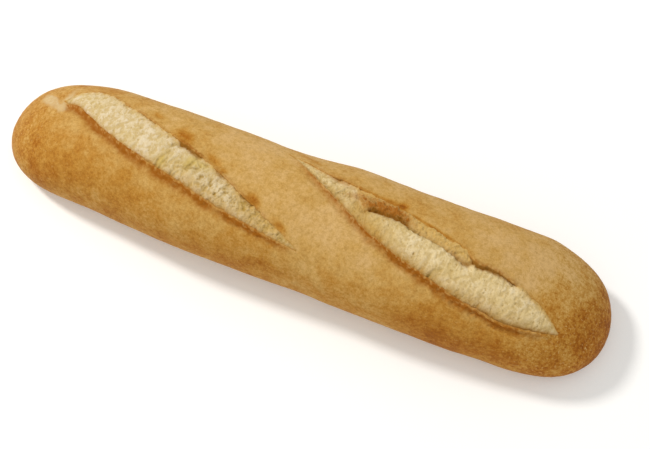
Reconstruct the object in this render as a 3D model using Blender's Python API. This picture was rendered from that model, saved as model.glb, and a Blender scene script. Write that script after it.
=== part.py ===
"""A short baguette: one rounded loaf with a flat underside and two slanting slashes in its back.

The loaf lies along X, rests on Z = 0 and is centred on the origin. Its far side is +Y.
All sizes are in metres.
"""

import math
from dataclasses import dataclass

import bmesh
import bpy
import numpy as np

MM = 0.001

# Loaf
LENGTH = 280 * MM
HEIGHT = 46 * MM
HALF_WIDTH = 29.0 * MM
WIDENING = 1.7 * MM  # half width gained from mid length to the right end
END_FULLNESS = 0.9 * MM  # half width gained towards both ends
BOW = 5.3 * MM  # how far both ends bend towards the far side
PLAN_POWER = 8.9  # bluntness of the ends seen from above
BACK_POWER = 4.0  # bluntness of the ends seen from the side, above the middle
BELLY_POWER = 4.2  # the same below the middle
WAIST_HEIGHT = 20 * MM  # height of the widest line at mid length
TIP_HEIGHT = 6.5 * MM  # height of the end tips
TIP_DROP_POWER = 3.0
BACK_SQUARENESS = 2.15
BELLY_SQUARENESS = 2.4
BELLY_DEPTH = 1.12  # depth of the belly over the waist height: what passes 1 is flattened

# Soft swellings of the two sides: place along X, height and reach
FAR_SWELLINGS = (
    (-94 * MM, 0.7 * MM, 13 * MM),
    (-9 * MM, -0.8 * MM, 13 * MM),
    (21 * MM, 0.9 * MM, 12 * MM),
    (64 * MM, -0.7 * MM, 17 * MM),
    (107 * MM, 1.1 * MM, 9 * MM),
)
NEAR_SWELLINGS = (
    (-90 * MM, -0.7 * MM, 15 * MM),
    (-45 * MM, 0.7 * MM, 20 * MM),
    (12 * MM, -0.7 * MM, 12 * MM),
    (93 * MM, -0.5 * MM, 11 * MM),
)

# Mesh: rings along X, and columns in bands that follow the lips of the two cuts
RINGS = 92
BOTTOM_COLUMNS = 4  # from the middle of the flat underside to its edge
SIDE_COLUMNS = 9  # up each side to the back
NEAR_SLOPE_COLUMNS = 6  # from the near side to the first cut
FIRST_CUT_COLUMNS = 8
BETWEEN_COLUMNS = 9  # between the two cuts
SECOND_CUT_COLUMNS = 8
FAR_SLOPE_COLUMNS = 5
BACK_HALF_ARC = 30 * MM
BACK_SHARE = 0.68  # most of the way down to the underside that the back may take
BAND_ROUNDING = 0.6  # how much closer the columns of a band lie at its two edges
LIP_GAP = 0.5 * MM  # between the last column of the crust and the first of the crumb
SPREAD_GAP = 2.5 * MM  # the same where the columns have parted beyond a cut's ends
LEAST_CUT = 0.6 * MM  # half width kept between the columns where a cut runs out
COLUMN_SPREAD = 26 * MM  # length over which the columns of a cut part again beyond its ends
LEAST_BOTTOM_ANGLE = 0.35
ANGLE_SAMPLES = 721
STATION_SAMPLES = 2001
NORMAL_STEP = 0.2 * MM
NORMAL_ANGLE_STEP = 0.01
SHARP_ANGLE = math.radians(65)

# Cut relief
ROLL_POWER = 2.5  # how square the crumb's rounded back is
SUNK_FALL = 0.3  # share of its fall that the crumb keeps before the step
STEP_LENGTH = 2.5 * MM
SHELF_RISE = 4 * MM  # length over which the shelf begins
SHELF_FALL = 8 * MM
SHELF_EDGE = 0.12  # width of the edge between the rounded crumb and the shelf, in half widths
OPEN_WIDTH = 3 * MM  # half width at which the relief is at its full height
RIDGE_OFFSET = 0.6 * MM  # from the near lip out to the top of its ridge
RIDGE_REACH = 1.1 * MM
GROOVE_OFFSET = 3.4 * MM
GROOVE_REACH = 1.8 * MM

# Colours: linear red, green and blue
CRUST_COLOUR = (0.50, 0.27, 0.085, 1.0)
CRUST_ROUGHNESS = 0.55
CRUMB_COLOUR = (0.72, 0.52, 0.26, 1.0)
CRUMB_ROUGHNESS = 0.85


def ease(value):
    """Goes smoothly from 0 to 1 as the value does."""
    t = np.clip(value, 0.0, 1.0)
    return t * t * (3.0 - 2.0 * t)


def bump(distance, reach):
    """A soft hill, 1 high at no distance."""
    return np.exp(-((distance / reach) ** 2))


def rounding(share, power):
    """How much of the full size is left at a share of the half length."""
    return np.sqrt(np.clip(1.0 - np.abs(share) ** power, 0.0, 1.0))


def swelling(x, rows):
    """The height of a row of side swellings at the places x."""
    return sum(height * bump(x - place, reach) for place, height, reach in rows)


def ring_points(x, angle):
    """Y and Z of the bare loaf at x, for an angle counted from the ridge towards the far side."""
    share = x / (LENGTH / 2)
    plan = rounding(share, PLAN_POWER)
    half = HALF_WIDTH + WIDENING * share + END_FULLNESS * share**2
    far = (half + swelling(x, FAR_SWELLINGS)) * plan
    near = (half + swelling(x, NEAR_SWELLINGS)) * plan
    waist = WAIST_HEIGHT - (WAIST_HEIGHT - TIP_HEIGHT) * np.abs(share) ** TIP_DROP_POWER
    back = (HEIGHT - WAIST_HEIGHT) * rounding(share, BACK_POWER)
    belly = BELLY_DEPTH * WAIST_HEIGHT * rounding(share, BELLY_POWER)
    side, up = np.sin(angle), np.cos(angle)
    power = 2.0 / np.where(up > 0, BACK_SQUARENESS, BELLY_SQUARENESS)
    across = np.sign(side) * np.abs(side) ** power
    rise = np.sign(up) * np.abs(up) ** power
    y = np.where(side > 0, far, near) * across + BOW * share**2
    z = waist + np.where(up > 0, back, belly) * rise
    return y, np.maximum(z, 0.0)


@dataclass(frozen=True)
class Slash:
    """One cut in the back, opened by the oven: crust lips on both sides, bare crumb between.

    Places across the loaf are arcs along its skin from the ridge, positive on the far side.
    """

    start: float  # along X
    end: float
    start_arc: float
    end_arc: float
    belly: float  # how far the middle of the cut bends from the straight line
    half_width: float
    opens: float  # share of the length over which it widens
    opens_power: float
    closes: float  # share of the length from which it narrows
    closes_power: float
    crown: float  # height of the crumb over the bare skin
    near_drop: float  # how far the crumb falls from the crown to the near lip
    far_drop: float
    near_ridge: float  # height of the near lip's curled edge
    near_groove: float
    far_flap: float  # height of the lifted crust over the far lip
    flap_reach: float
    step: float  # where the swollen crumb starts, along X
    sunk: float  # level of the crumb before that step
    shelf_start: float  # stretch with a crumb shelf below the far lip, along X
    shelf_end: float
    shelf_share: float  # share of the half width that the shelf takes
    shelf_level: float

    def share(self, x):
        return (x - self.start) / (self.end - self.start)

    def centre(self, x):
        p = np.clip(self.share(x), 0.0, 1.0)
        straight = self.start_arc + (self.end_arc - self.start_arc) * p
        return straight + self.belly * 4.0 * p * (1.0 - p)

    def half(self, x):
        p = np.clip(self.share(x), 0.0, 1.0)
        widening = np.sin(np.minimum(p / self.opens, 1.0) * np.pi / 2) ** self.opens_power
        past = np.maximum((p - self.closes) / (1.0 - self.closes), 0.0)
        return self.half_width * widening * (1.0 - past**self.closes_power)

    def lips(self, x):
        """Arcs of the near and the far lip, both at the tip beyond the cut's ends."""
        return self.centre(x) - self.half(x), self.centre(x) + self.half(x)

    def guides(self, x, low, high):
        """Arcs of the mesh columns on both sides of each lip.

        Beyond the cut's ends they part again, between the arcs low and high.
        """
        beyond = ease(max(self.start - x, x - self.end) / COLUMN_SPREAD)
        half = max(float(self.half(x)), LEAST_CUT)
        centre = float(self.centre(x)) * (1.0 - beyond) + (low + high) / 2 * beyond
        half = half * (1.0 - beyond) + (high - low) / 6 * beyond
        gap = (LIP_GAP * (1.0 - beyond) + SPREAD_GAP * beyond) / 2
        gap = min(gap, half / 2)
        return centre - half - gap, centre - half + gap, centre + half - gap, centre + half + gap

    def inside(self, x, arc):
        return np.abs(arc - self.centre(x)) < self.half(x)

    def relief(self, x, arc):
        """Height over the bare skin, from the near groove to the far flap."""
        half = self.half(x)
        openness = ease(half / OPEN_WIDTH)
        off = arc - self.centre(x)
        from_near, from_far = off + half, half - off
        across = off / np.maximum(half, MM)

        swollen = ease((x - self.step) / STEP_LENGTH)
        shelf = ease((x - self.shelf_start) / SHELF_RISE)
        shelf = shelf * ease((self.shelf_end - x) / SHELF_FALL)
        crevice = 1.0 - self.shelf_share * shelf
        roll = (across + 1.0) / (crevice + 1.0) * 2.0 - 1.0
        fall = self.near_drop * np.clip(-roll, 0.0, 1.0) ** ROLL_POWER
        fall = fall + self.far_drop * np.clip(roll, 0.0, 1.0) ** ROLL_POWER
        crumb = self.crown * swollen + self.sunk * (1.0 - swollen)
        crumb = crumb - fall * (SUNK_FALL + (1.0 - SUNK_FALL) * swollen)
        on_shelf = ease((across - crevice) / SHELF_EDGE) * shelf
        crumb = crumb * (1.0 - on_shelf) + self.shelf_level * on_shelf

        ridge = self.near_ridge * bump(from_near + RIDGE_OFFSET, RIDGE_REACH)
        groove = self.near_groove * bump(from_near + GROOVE_OFFSET, GROOVE_REACH)
        outside_far = np.maximum(-from_far, 0.0)
        flap = self.far_flap * np.exp(-outside_far / self.flap_reach)
        far_side = ease(off / (2 * MM) + 0.5)
        crust = far_side * flap + (1.0 - far_side) * (ridge - groove)
        open_cut = ease(from_near / LIP_GAP + 0.5) * ease(from_far / LIP_GAP + 0.5)
        return openness * (crust * (1.0 - open_cut) + crumb * open_cut)


SLASHES = (
    Slash(
        start=-115 * MM,
        end=12 * MM,
        start_arc=9.5 * MM,
        end_arc=-24.5 * MM,
        belly=2.3 * MM,
        half_width=10.2 * MM,
        opens=0.17,
        opens_power=0.7,
        closes=0.10,
        closes_power=2.3,
        crown=0.5 * MM,
        near_drop=1.6 * MM,
        far_drop=1.9 * MM,
        near_ridge=0.7 * MM,
        near_groove=0.5 * MM,
        far_flap=0.5 * MM,
        flap_reach=4.5 * MM,
        step=-124 * MM,
        sunk=0.0,
        shelf_start=-115 * MM,
        shelf_end=-116 * MM,
        shelf_share=0.0,
        shelf_level=0.0,
    ),
    Slash(
        start=-11 * MM,
        end=121 * MM,
        start_arc=19.5 * MM,
        end_arc=-15.5 * MM,
        belly=-6.3 * MM,
        half_width=9.5 * MM,
        opens=0.50,
        opens_power=1.2,
        closes=0.75,
        closes_power=1.6,
        crown=1.9 * MM,
        near_drop=3.0 * MM,
        far_drop=3.2 * MM,
        near_ridge=0.9 * MM,
        near_groove=0.6 * MM,
        far_flap=0.7 * MM,
        flap_reach=4.5 * MM,
        step=30 * MM,
        sunk=-0.8 * MM,
        shelf_start=30 * MM,
        shelf_end=84 * MM,
        shelf_share=0.5,
        shelf_level=-0.6 * MM,
    ),
)


def stations():
    """Places of the rings along X, evenly spaced along the outline of the loaf from above."""
    angle = np.linspace(0.0, np.pi, STATION_SAMPLES)
    x = -np.cos(angle) * LENGTH / 2
    half = HALF_WIDTH * rounding(x / (LENGTH / 2), PLAN_POWER)
    walked = np.concatenate([[0.0], np.cumsum(np.hypot(np.diff(x), np.diff(half)))])
    return np.interp(np.linspace(0.0, walked[-1], RINGS + 1), walked, x)


def bottom_angle(x):
    """The angle from the ridge at which the ring at x meets the flat underside."""
    share = abs(x) / (LENGTH / 2)
    waist = WAIST_HEIGHT - (WAIST_HEIGHT - TIP_HEIGHT) * share**TIP_DROP_POWER
    belly = BELLY_DEPTH * WAIST_HEIGHT * float(rounding(share, BELLY_POWER))
    if belly <= waist:
        return math.pi - LEAST_BOTTOM_ANGLE
    edge = math.pi - math.acos((waist / belly) ** (BELLY_SQUARENESS / 2))
    return min(edge, math.pi - LEAST_BOTTOM_ANGLE)


def even(start, end, count):
    """Evenly spaced arcs from the start, without the end."""
    return start + (end - start) * np.arange(count) / count


def band(start, end, count):
    """Arcs from the start to the end, both included, closer together at the two edges."""
    share = np.linspace(0.0, 1.0, count)
    rounded = (1.0 - np.cos(np.pi * share)) / 2
    return start + (end - start) * (share * (1.0 - BAND_ROUNDING) + rounded * BAND_ROUNDING)


def back_columns(x):
    """Arcs across the full back, in bands between its two edges and the lips of the cuts."""
    first, second = SLASHES
    start, end = -BACK_HALF_ARC, BACK_HALF_ARC
    a, b, c, d = first.guides(x, start, float(second.lips(x)[0]))
    e, f, g, h = second.guides(x, float(first.lips(x)[1]), end)
    return np.concatenate(
        [
            band(start, a, NEAR_SLOPE_COLUMNS),
            band(b, c, FIRST_CUT_COLUMNS),
            band(d, e, BETWEEN_COLUMNS),
            band(f, g, SECOND_CUT_COLUMNS),
            band(h, end, FAR_SLOPE_COLUMNS)[:-1],
        ]
    )


def ring_columns(x):
    """The angle and the arc of each column of the ring at x, from the middle of the underside."""
    angle = np.linspace(-np.pi, np.pi, ANGLE_SAMPLES)
    y, z = ring_points(x, angle)
    walked = np.concatenate([[0.0], np.cumsum(np.hypot(np.diff(y), np.diff(z)))])
    arc = walked - walked[ANGLE_SAMPLES // 2]
    near_edge, far_edge = np.interp([-bottom_angle(x), bottom_angle(x)], angle, arc)
    near_back = max(-BACK_HALF_ARC, BACK_SHARE * near_edge)
    far_back = min(BACK_HALF_ARC, BACK_SHARE * far_edge)
    back = back_columns(x)
    back = back * np.where(back < 0, -near_back, far_back) / BACK_HALF_ARC
    arcs = np.concatenate(
        [
            even(arc[0], near_edge, BOTTOM_COLUMNS),
            even(near_edge, near_back, SIDE_COLUMNS),
            back,
            even(far_back, far_edge, SIDE_COLUMNS),
            even(far_edge, arc[-1], BOTTOM_COLUMNS),
        ]
    )
    return np.interp(arcs, arc, angle), arcs


def outward(x, angle):
    """Unit vectors out of the bare skin."""
    y_ahead, z_ahead = ring_points(x + NORMAL_STEP, angle)
    y_back, z_back = ring_points(x - NORMAL_STEP, angle)
    along = np.stack([np.full_like(y_ahead, 2 * NORMAL_STEP), y_ahead - y_back, z_ahead - z_back], -1)
    y_next, z_next = ring_points(x, angle + NORMAL_ANGLE_STEP)
    y_last, z_last = ring_points(x, angle - NORMAL_ANGLE_STEP)
    around = np.stack([np.zeros_like(y_next), y_next - y_last, z_next - z_last], -1)
    normal = np.cross(along, around)
    return normal / np.maximum(np.linalg.norm(normal, axis=-1, keepdims=True), 1e-12)


def loaf_points():
    """The whole surface, slashes included, as a grid of rings and columns centred on the origin.

    Returns the points and, for each one, whether it lies in a cut.
    """
    x = stations()
    columns = [ring_columns(place) for place in x]
    angle = np.array([angles for angles, _ in columns])
    arc = np.array([arcs for _, arcs in columns])
    x = np.repeat(x[:, None], arc.shape[1], axis=1)
    y, z = ring_points(x, angle)
    height = sum(slash.relief(x, arc) for slash in SLASHES)
    points = np.stack([x, y, z], -1) + outward(x, angle) * height[:, :, None]
    cut = np.logical_or.reduce([slash.inside(x, arc) for slash in SLASHES])
    for axis in (0, 1):
        middle = (points[:, :, axis].max() + points[:, :, axis].min()) / 2
        points[:, :, axis] -= middle
    return points, cut


def material(name, colour, roughness):
    """A plain Principled material."""
    made = bpy.data.materials.new(name)
    made.use_nodes = True
    shader = made.node_tree.nodes["Principled BSDF"]
    shader.inputs["Base Color"].default_value = colour
    shader.inputs["Roughness"].default_value = roughness
    shader.inputs["Metallic"].default_value = 0.0
    made.diffuse_color = colour
    return made


def build_loaf(collection):
    """Shapes a sphere, poles at the two ends, into the loaf."""
    points, cut = loaf_points()
    columns = points.shape[1]
    mesh = bpy.data.meshes.new("loaf")
    ball = bmesh.new()
    bmesh.ops.create_uvsphere(ball, u_segments=columns, v_segments=RINGS, radius=1.0)
    in_cut = set()
    for vertex in ball.verts:
        row = round(math.acos(max(-1.0, min(1.0, -vertex.co.z))) / math.pi * RINGS)
        turn = math.atan2(vertex.co.y, vertex.co.x) / (2 * math.pi)
        column = round(turn * columns) % columns
        if cut[row, column]:
            in_cut.add(vertex)
        vertex.co = points[row, column]
    for face in ball.faces:
        face.material_index = int(all(vertex in in_cut for vertex in face.verts))
    bmesh.ops.recalc_face_normals(ball, faces=ball.faces)
    ball.to_mesh(mesh)
    ball.free()
    mesh.shade_smooth()
    mesh.set_sharp_from_angle(angle=SHARP_ANGLE)
    mesh.materials.append(material("crust", CRUST_COLOUR, CRUST_ROUGHNESS))
    mesh.materials.append(material("crumb", CRUMB_COLOUR, CRUMB_ROUGHNESS))
    loaf = bpy.data.objects.new("loaf", mesh)
    collection.objects.link(loaf)
    return loaf


def main():
    for old in list(bpy.data.objects):
        bpy.data.objects.remove(old, do_unlink=True)
    collection = bpy.data.collections.new("baguette")
    bpy.context.scene.collection.children.link(collection)
    build_loaf(collection)


main()
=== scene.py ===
"""Dresses a short baguette: a browned crust with two opened cuts, and pale crumb in each.

Lengths are in metres. The loaf lies along X, its far side is towards +Y and it rests on Z = 0.
"""

from __future__ import annotations

import logging
import math
from dataclasses import dataclass, field
from enum import Enum
from itertools import product

import bpy
import numpy as np
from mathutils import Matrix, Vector


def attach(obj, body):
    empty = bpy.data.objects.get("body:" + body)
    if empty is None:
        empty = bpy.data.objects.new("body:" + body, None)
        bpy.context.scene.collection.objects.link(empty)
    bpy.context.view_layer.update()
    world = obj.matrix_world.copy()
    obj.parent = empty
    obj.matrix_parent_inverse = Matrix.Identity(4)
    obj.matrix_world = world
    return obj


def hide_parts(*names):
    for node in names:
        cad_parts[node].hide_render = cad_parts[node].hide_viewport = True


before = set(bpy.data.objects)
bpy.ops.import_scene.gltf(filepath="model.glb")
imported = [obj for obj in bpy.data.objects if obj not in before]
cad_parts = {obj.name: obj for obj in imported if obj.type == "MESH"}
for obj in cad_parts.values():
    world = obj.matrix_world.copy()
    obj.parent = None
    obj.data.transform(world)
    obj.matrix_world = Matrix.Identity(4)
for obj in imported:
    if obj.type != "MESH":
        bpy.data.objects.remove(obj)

MM = 0.001
NOISE_VALUES = 4096  # length of the noise's table, a power of two
NOISE_SEED_STEP = 9176
NOISE_PRIMES = (73856093, 19349663, 83492791)
NOISE_MIXER = 1274126177
Array = np.ndarray
Colour = tuple[float, float, float]
Rows = tuple[tuple[float, ...], ...]
Socket = bpy.types.NodeSocket
log = logging.getLogger("baguette")


def in_mm(*rows: tuple[float, ...]) -> Rows:
    """Turn rows of millimetres into metres."""
    return tuple(tuple(value * MM for value in row) for row in rows)


def lengths(**values: float) -> dict[str, float]:
    """Turn named millimetres into metres."""
    return {name: value * MM for name, value in values.items()}


def unit(value: Array) -> Array:
    """Keep a value between 0 and 1."""
    return np.clip(value, 0.0, 1.0)


def ease(value: Array) -> Array:
    """Go smoothly from 0 to 1 as the value does."""
    t = unit(value)
    return t * t * (3.0 - 2.0 * t)


def hill(distance: Array, reach: float) -> Array:
    """Give a soft hill, 1 high at no distance."""
    return np.exp(-((distance / reach) ** 2))


def hills(rows: Rows, x: Array) -> Array:
    """Add up soft hills along X, each given by its place, height and reach."""
    return sum(height * hill(x - place, reach) for place, height, reach in rows) + np.zeros_like(x)


def rounding(share: Array, power: float) -> Array:
    """Give how much of the full size is left at a share of the half length."""
    return np.sqrt(unit(1.0 - np.abs(share) ** power))


def blend(first: Array, second: Array, share: Array) -> Array:
    """Mix two values by a share of the second."""
    return first * (1.0 - share) + second * share


@dataclass(frozen=True)
class Grain:
    """Repeatable soft noise, the same on every run.

    Attributes:
        seed: picks the noise.
    """

    seed: int

    def table(self) -> Array:
        """Give the noise's random values."""
        return np.random.default_rng(self.seed).random(NOISE_VALUES)

    def value(self, *cells: Array) -> Array:
        """Give a random value from 0 to 1 for each whole-numbered cell.

        Args:
            cells: one array of whole numbers for each direction.

        Returns:
            One value for each cell.
        """
        key = np.full(np.shape(cells[0]), NOISE_SEED_STEP * self.seed, np.int64)
        for cell, prime in zip(cells, NOISE_PRIMES):
            key = key ^ (cell.astype(np.int64) * prime)
        key = key ^ (key >> 13)
        return self.table()[(key * NOISE_MIXER >> 7) & (NOISE_VALUES - 1)]

    def at(self, places: Array, size: float) -> Array:
        """Give smooth noise from -1 to 1.

        Args:
            places: points, with X, Y and Z in the last axis.
            size: length of one lattice cell.

        Returns:
            One value for each point.
        """
        scaled = places / size
        cell = np.floor(scaled)
        f = scaled - cell
        f = f * f * f * (f * (f * 6.0 - 15.0) + 10.0)
        total = np.zeros(places.shape[:-1])
        for i, j, k in product((0, 1), repeat=3):
            weight = np.abs(1 - i - f[..., 0]) * np.abs(1 - j - f[..., 1])
            weight = weight * np.abs(1 - k - f[..., 2])
            total += weight * self.value(cell[..., 0] + i, cell[..., 1] + j, cell[..., 2] + k)
        return total * 2.0 - 1.0

    def fractal(self, places: Array, size: float, octaves: int = 3, gain: float = 0.5) -> Array:
        """Sum noise of halving sizes.

        Args:
            places: points, with X, Y and Z in the last axis.
            size: length of the largest lattice cell.
            octaves: how many sizes are summed.
            gain: share of its strength that each smaller size keeps.

        Returns:
            One value for each point, about -1 to 1.
        """
        total, strength, reach = 0.0, 1.0, 0.0
        for octave in range(octaves):
            total = total + strength * self.at(places + octave * 0.37, size / 2**octave)
            reach += strength
            strength *= gain
        return total / reach

    def pores(self, u: Array, v: Array, size: float) -> tuple[Array, Array]:
        """Scatter points over a plane and measure the distance to the nearest.

        Args:
            u: first coordinate.
            v: second coordinate.
            size: mean spacing of the points.

        Returns:
            The distance to the nearest point, in spacings, and that point's random value.
        """
        gu, gv = np.floor(u / size), np.floor(v / size)
        nearest = np.full(u.shape, 9.0)
        chosen = np.zeros(u.shape)
        for i, j in product((-1, 0, 1), repeat=2):
            cu, cv = gu + i, gv + j
            pu = cu + self.value(cu, cv, np.zeros_like(cu))
            pv = cv + self.value(cu, cv, np.ones_like(cu))
            distance = np.hypot(u / size - pu, v / size - pv)
            closer = distance < nearest
            nearest = np.where(closer, distance, nearest)
            chosen = np.where(closer, self.value(cu, cv, np.full_like(cu, 2.0)), chosen)
        return nearest, chosen


def flat(u: Array, v: Array | float, layer: float = 0.0) -> Array:
    """Stack two coordinates into points of one flat layer, for noise that follows the skin."""
    return np.stack([u, v + np.zeros_like(u), np.full_like(u, layer)], axis=-1)


@dataclass(frozen=True)
class Stretch:
    """A length of a lip, with a strength that fades at its two ends.

    Attributes:
        start: where it begins along X.
        end: where it ends along X.
        amount: its strength in the middle.
        fade: length of each fading end.
    """

    start: float
    end: float
    amount: float
    fade: float = 3 * MM

    @classmethod
    def rows(cls, *rows: tuple[float, ...]) -> tuple[Stretch, ...]:
        """Make stretches from rows of the values above, with lengths in millimetres."""
        return tuple(cls(r[0] * MM, r[1] * MM, r[2], *(v * MM for v in r[3:])) for r in rows)

    def at(self, x: Array) -> Array:
        """Give the strength at places along X."""
        rise = ease((x - self.start) / self.fade + 0.5)
        return self.amount * rise * ease((self.end - x) / self.fade + 0.5)


@dataclass(frozen=True)
class Spot:
    """A soft patch on the skin.

    Attributes:
        x: middle along X.
        arc: middle across, as an arc from the ridge.
        reach_x: half length.
        reach_arc: half width.
        amount: strength in the middle.
        lean: arc gained for each length along X, for a slanting patch.
    """

    x: float
    arc: float
    reach_x: float
    reach_arc: float
    amount: float
    lean: float = 0.0

    @classmethod
    def rows(cls, *rows: tuple[float, ...]) -> tuple[Spot, ...]:
        """Make patches from rows of the values above, with lengths in millimetres."""
        return tuple(cls(*(v * MM for v in row[:4]), *row[4:]) for row in rows)

    def at(self, x: Array, arc: Array) -> Array:
        """Give the strength at places on the skin."""
        off = arc - self.arc - self.lean * (x - self.x)
        return self.amount * hill(x - self.x, self.reach_x) * hill(off, self.reach_arc)


@dataclass(frozen=True)
class Crease:
    """A pressed or torn line, through points given along X and as an arc from the ridge.

    Attributes:
        points: the line's corners.
        depth: how deep it is.
        width: half width.
        wander: how far the line strays from straight.
    """

    points: tuple[tuple[float, float], ...]
    depth: float
    width: float
    wander: float = 0.4 * MM

    @classmethod
    def rows(cls, *rows: tuple) -> tuple[Crease, ...]:
        """Make lines from rows of the values above, in millimetres."""
        return tuple(cls(in_mm(*points), *(v * MM for v in rest)) for points, *rest in rows)

    def distance(self, x: Array, arc: Array, grain: Grain) -> Array:
        """Measure how far places lie from the line.

        Args:
            x: places along X.
            arc: arcs from the ridge.
            grain: noise that makes the line wander.

        Returns:
            One distance for each place.
        """
        sway = self.wander * grain.at(flat(x, arc, self.depth), 2.6 * MM)
        nearest = np.full(x.shape, 1.0)
        for (x0, a0), (x1, a1) in zip(self.points, self.points[1:]):
            run = np.array([x1 - x0, a1 - a0])
            share = ((x - x0) * run[0] + (arc + sway - a0) * run[1]) / (run @ run)
            share = unit(share)
            away = np.hypot(x - x0 - share * run[0], arc + sway - a0 - share * run[1])
            nearest = np.minimum(nearest, away)
        return nearest

    def at(self, x: Array, arc: Array, grain: Grain) -> Array:
        """Give the depth at places on the skin."""
        broken = 0.6 + 0.6 * grain.fractal(flat(x, arc, 3.3), 2.2 * MM, 2)
        return self.depth * broken * hill(self.distance(x, arc, grain), 1.3 * self.width)


@dataclass(frozen=True)
class Form:
    """The bare loaf before its cuts: a long rounded body on a flat underside."""

    length: float = 280 * MM
    height: float = 46 * MM
    half_width: float = 29.0 * MM
    widening: float = 1.7 * MM
    end_fullness: float = 0.9 * MM
    bow: float = 5.3 * MM
    plan_power: float = 8.9
    back_power: float = 4.0
    belly_power: float = 4.2
    waist_height: float = 20 * MM
    tip_height: float = 6.5 * MM
    tip_drop_power: float = 3.0
    back_squareness: float = 2.15
    belly_squareness: float = 2.4
    belly_depth: float = 1.12
    least_underside: float = 0.35  # angle that half the underside takes at least
    far_swellings: Rows = in_mm(
        (-94, 0.7, 13), (-9, -0.8, 13), (21, 0.9, 12), (64, -0.7, 17), (107, 1.1, 9)
    )
    near_swellings: Rows = in_mm((-90, -0.7, 15), (-45, 0.7, 20), (12, -0.7, 12), (93, -0.5, 11))

    def waist(self, share: Array) -> Array:
        """Give the height of the widest line at a share of the half length."""
        drop = self.waist_height - self.tip_height
        return self.waist_height - drop * np.abs(share) ** self.tip_drop_power

    def belly(self, share: Array) -> Array:
        """Give the depth of the body below that line, before it is flattened."""
        return self.belly_depth * self.waist_height * rounding(share, self.belly_power)

    def ring(self, x: Array, angle: Array) -> tuple[Array, Array]:
        """Give the cross-section.

        Args:
            x: places along X.
            angle: angles from the ridge, positive on the far side.

        Returns:
            Y and Z.
        """
        share = x / (self.length / 2)
        plan = rounding(share, self.plan_power)
        half = self.half_width + self.widening * share + self.end_fullness * share**2
        far, near = half + hills(self.far_swellings, x), half + hills(self.near_swellings, x)
        back = (self.height - self.waist_height) * rounding(share, self.back_power)
        side, up = np.sin(angle), np.cos(angle)
        power = 2.0 / np.where(up > 0, self.back_squareness, self.belly_squareness)
        across = np.sign(side) * np.abs(side) ** power
        rise = np.sign(up) * np.abs(up) ** power
        y = np.where(side > 0, far, near) * plan * across + self.bow * share**2
        z = self.waist(share) + np.where(up > 0, back, self.belly(share)) * rise
        return y, np.maximum(z, 0.0)

    def bottom_angle(self, x: float) -> float:
        """Give the angle from the ridge at which the ring at x meets the flat underside.

        Args:
            x: the ring's place along X.

        Returns:
            The angle.
        """
        share = abs(x) / (self.length / 2)
        waist, belly = float(self.waist(share)), float(self.belly(share))
        most = math.pi - self.least_underside
        if belly <= waist:
            return most
        edge = math.pi - math.acos((waist / belly) ** (self.belly_squareness / 2))
        return min(edge, most)

    def middle(self) -> float:
        """Give the Y of the middle of the bare loaf's box.

        Returns:
            The Y.
        """
        x = np.linspace(-self.length / 2, self.length / 2, 2001)[:, None]
        y, _ = self.ring(x, np.linspace(-np.pi, np.pi, 181)[None, :])
        return float(y.max() + y.min()) / 2


@dataclass
class Skin:
    """Rings of the bare loaf, measured by their arcs from the ridge.

    Attributes:
        form: the bare loaf.
        x: places of the rings along X.
        samples: points measured round each ring.
        step: length over which slopes along the loaf are measured.
        turn: angle over which those round it are.
    """

    form: Form
    x: Array
    samples: int = 721
    step: float = 0.2 * MM
    turn: float = 0.01
    angle: Array = field(init=False)
    arc: Array = field(init=False)

    def __post_init__(self) -> None:
        """Measure the rings."""
        self.angle = np.linspace(-np.pi, np.pi, self.samples)
        y, z = self.form.ring(self.x[:, None], self.angle[None, :])
        steps = np.hypot(np.diff(y, axis=1), np.diff(z, axis=1))
        walked = np.concatenate([np.zeros((len(self.x), 1)), np.cumsum(steps, axis=1)], axis=1)
        self.arc = walked - walked[:, self.samples // 2][:, None]

    def edges(self) -> tuple[Array, Array, Array, Array]:
        """Measure where the underside begins and ends.

        Returns:
            The arcs of its middle and of its edge on the near side, then of its edge and of
            its middle on the far side.
        """
        bottom = np.array([self.form.bottom_angle(float(x)) for x in self.x])
        near = np.array([np.interp(-b, self.angle, a) for b, a in zip(bottom, self.arc)])
        far = np.array([np.interp(b, self.angle, a) for b, a in zip(bottom, self.arc)])
        return self.arc[:, 0], near, far, self.arc[:, -1]

    def lay(self, arc: Array) -> tuple[Array, Array, Array]:
        """Lay points on the bare skin.

        Args:
            arc: arcs from the ridge, one row for each ring.

        Returns:
            The points, the unit vectors out of the skin and those round it to the far side.
        """
        angle = np.array([np.interp(want, a, self.angle) for want, a in zip(arc, self.arc)])
        x = np.repeat(self.x[:, None], arc.shape[1], axis=1)
        y, z = self.form.ring(x, angle)
        ahead = np.stack(self.form.ring(x + self.step, angle), -1)
        behind = np.stack(self.form.ring(x - self.step, angle), -1)
        along = np.concatenate([np.full(x.shape + (1,), 2 * self.step), ahead - behind], -1)
        further = np.stack(self.form.ring(x, angle + self.turn), -1)
        before = np.stack(self.form.ring(x, angle - self.turn), -1)
        around = np.concatenate([np.zeros(x.shape + (1,)), further - before], -1)
        around = around / np.maximum(np.linalg.norm(around, axis=-1, keepdims=True), 1e-12)
        out = np.cross(along, around)
        out = out / np.maximum(np.linalg.norm(out, axis=-1, keepdims=True), 1e-12)
        return np.stack([x, y, z], -1), out, around


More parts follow.
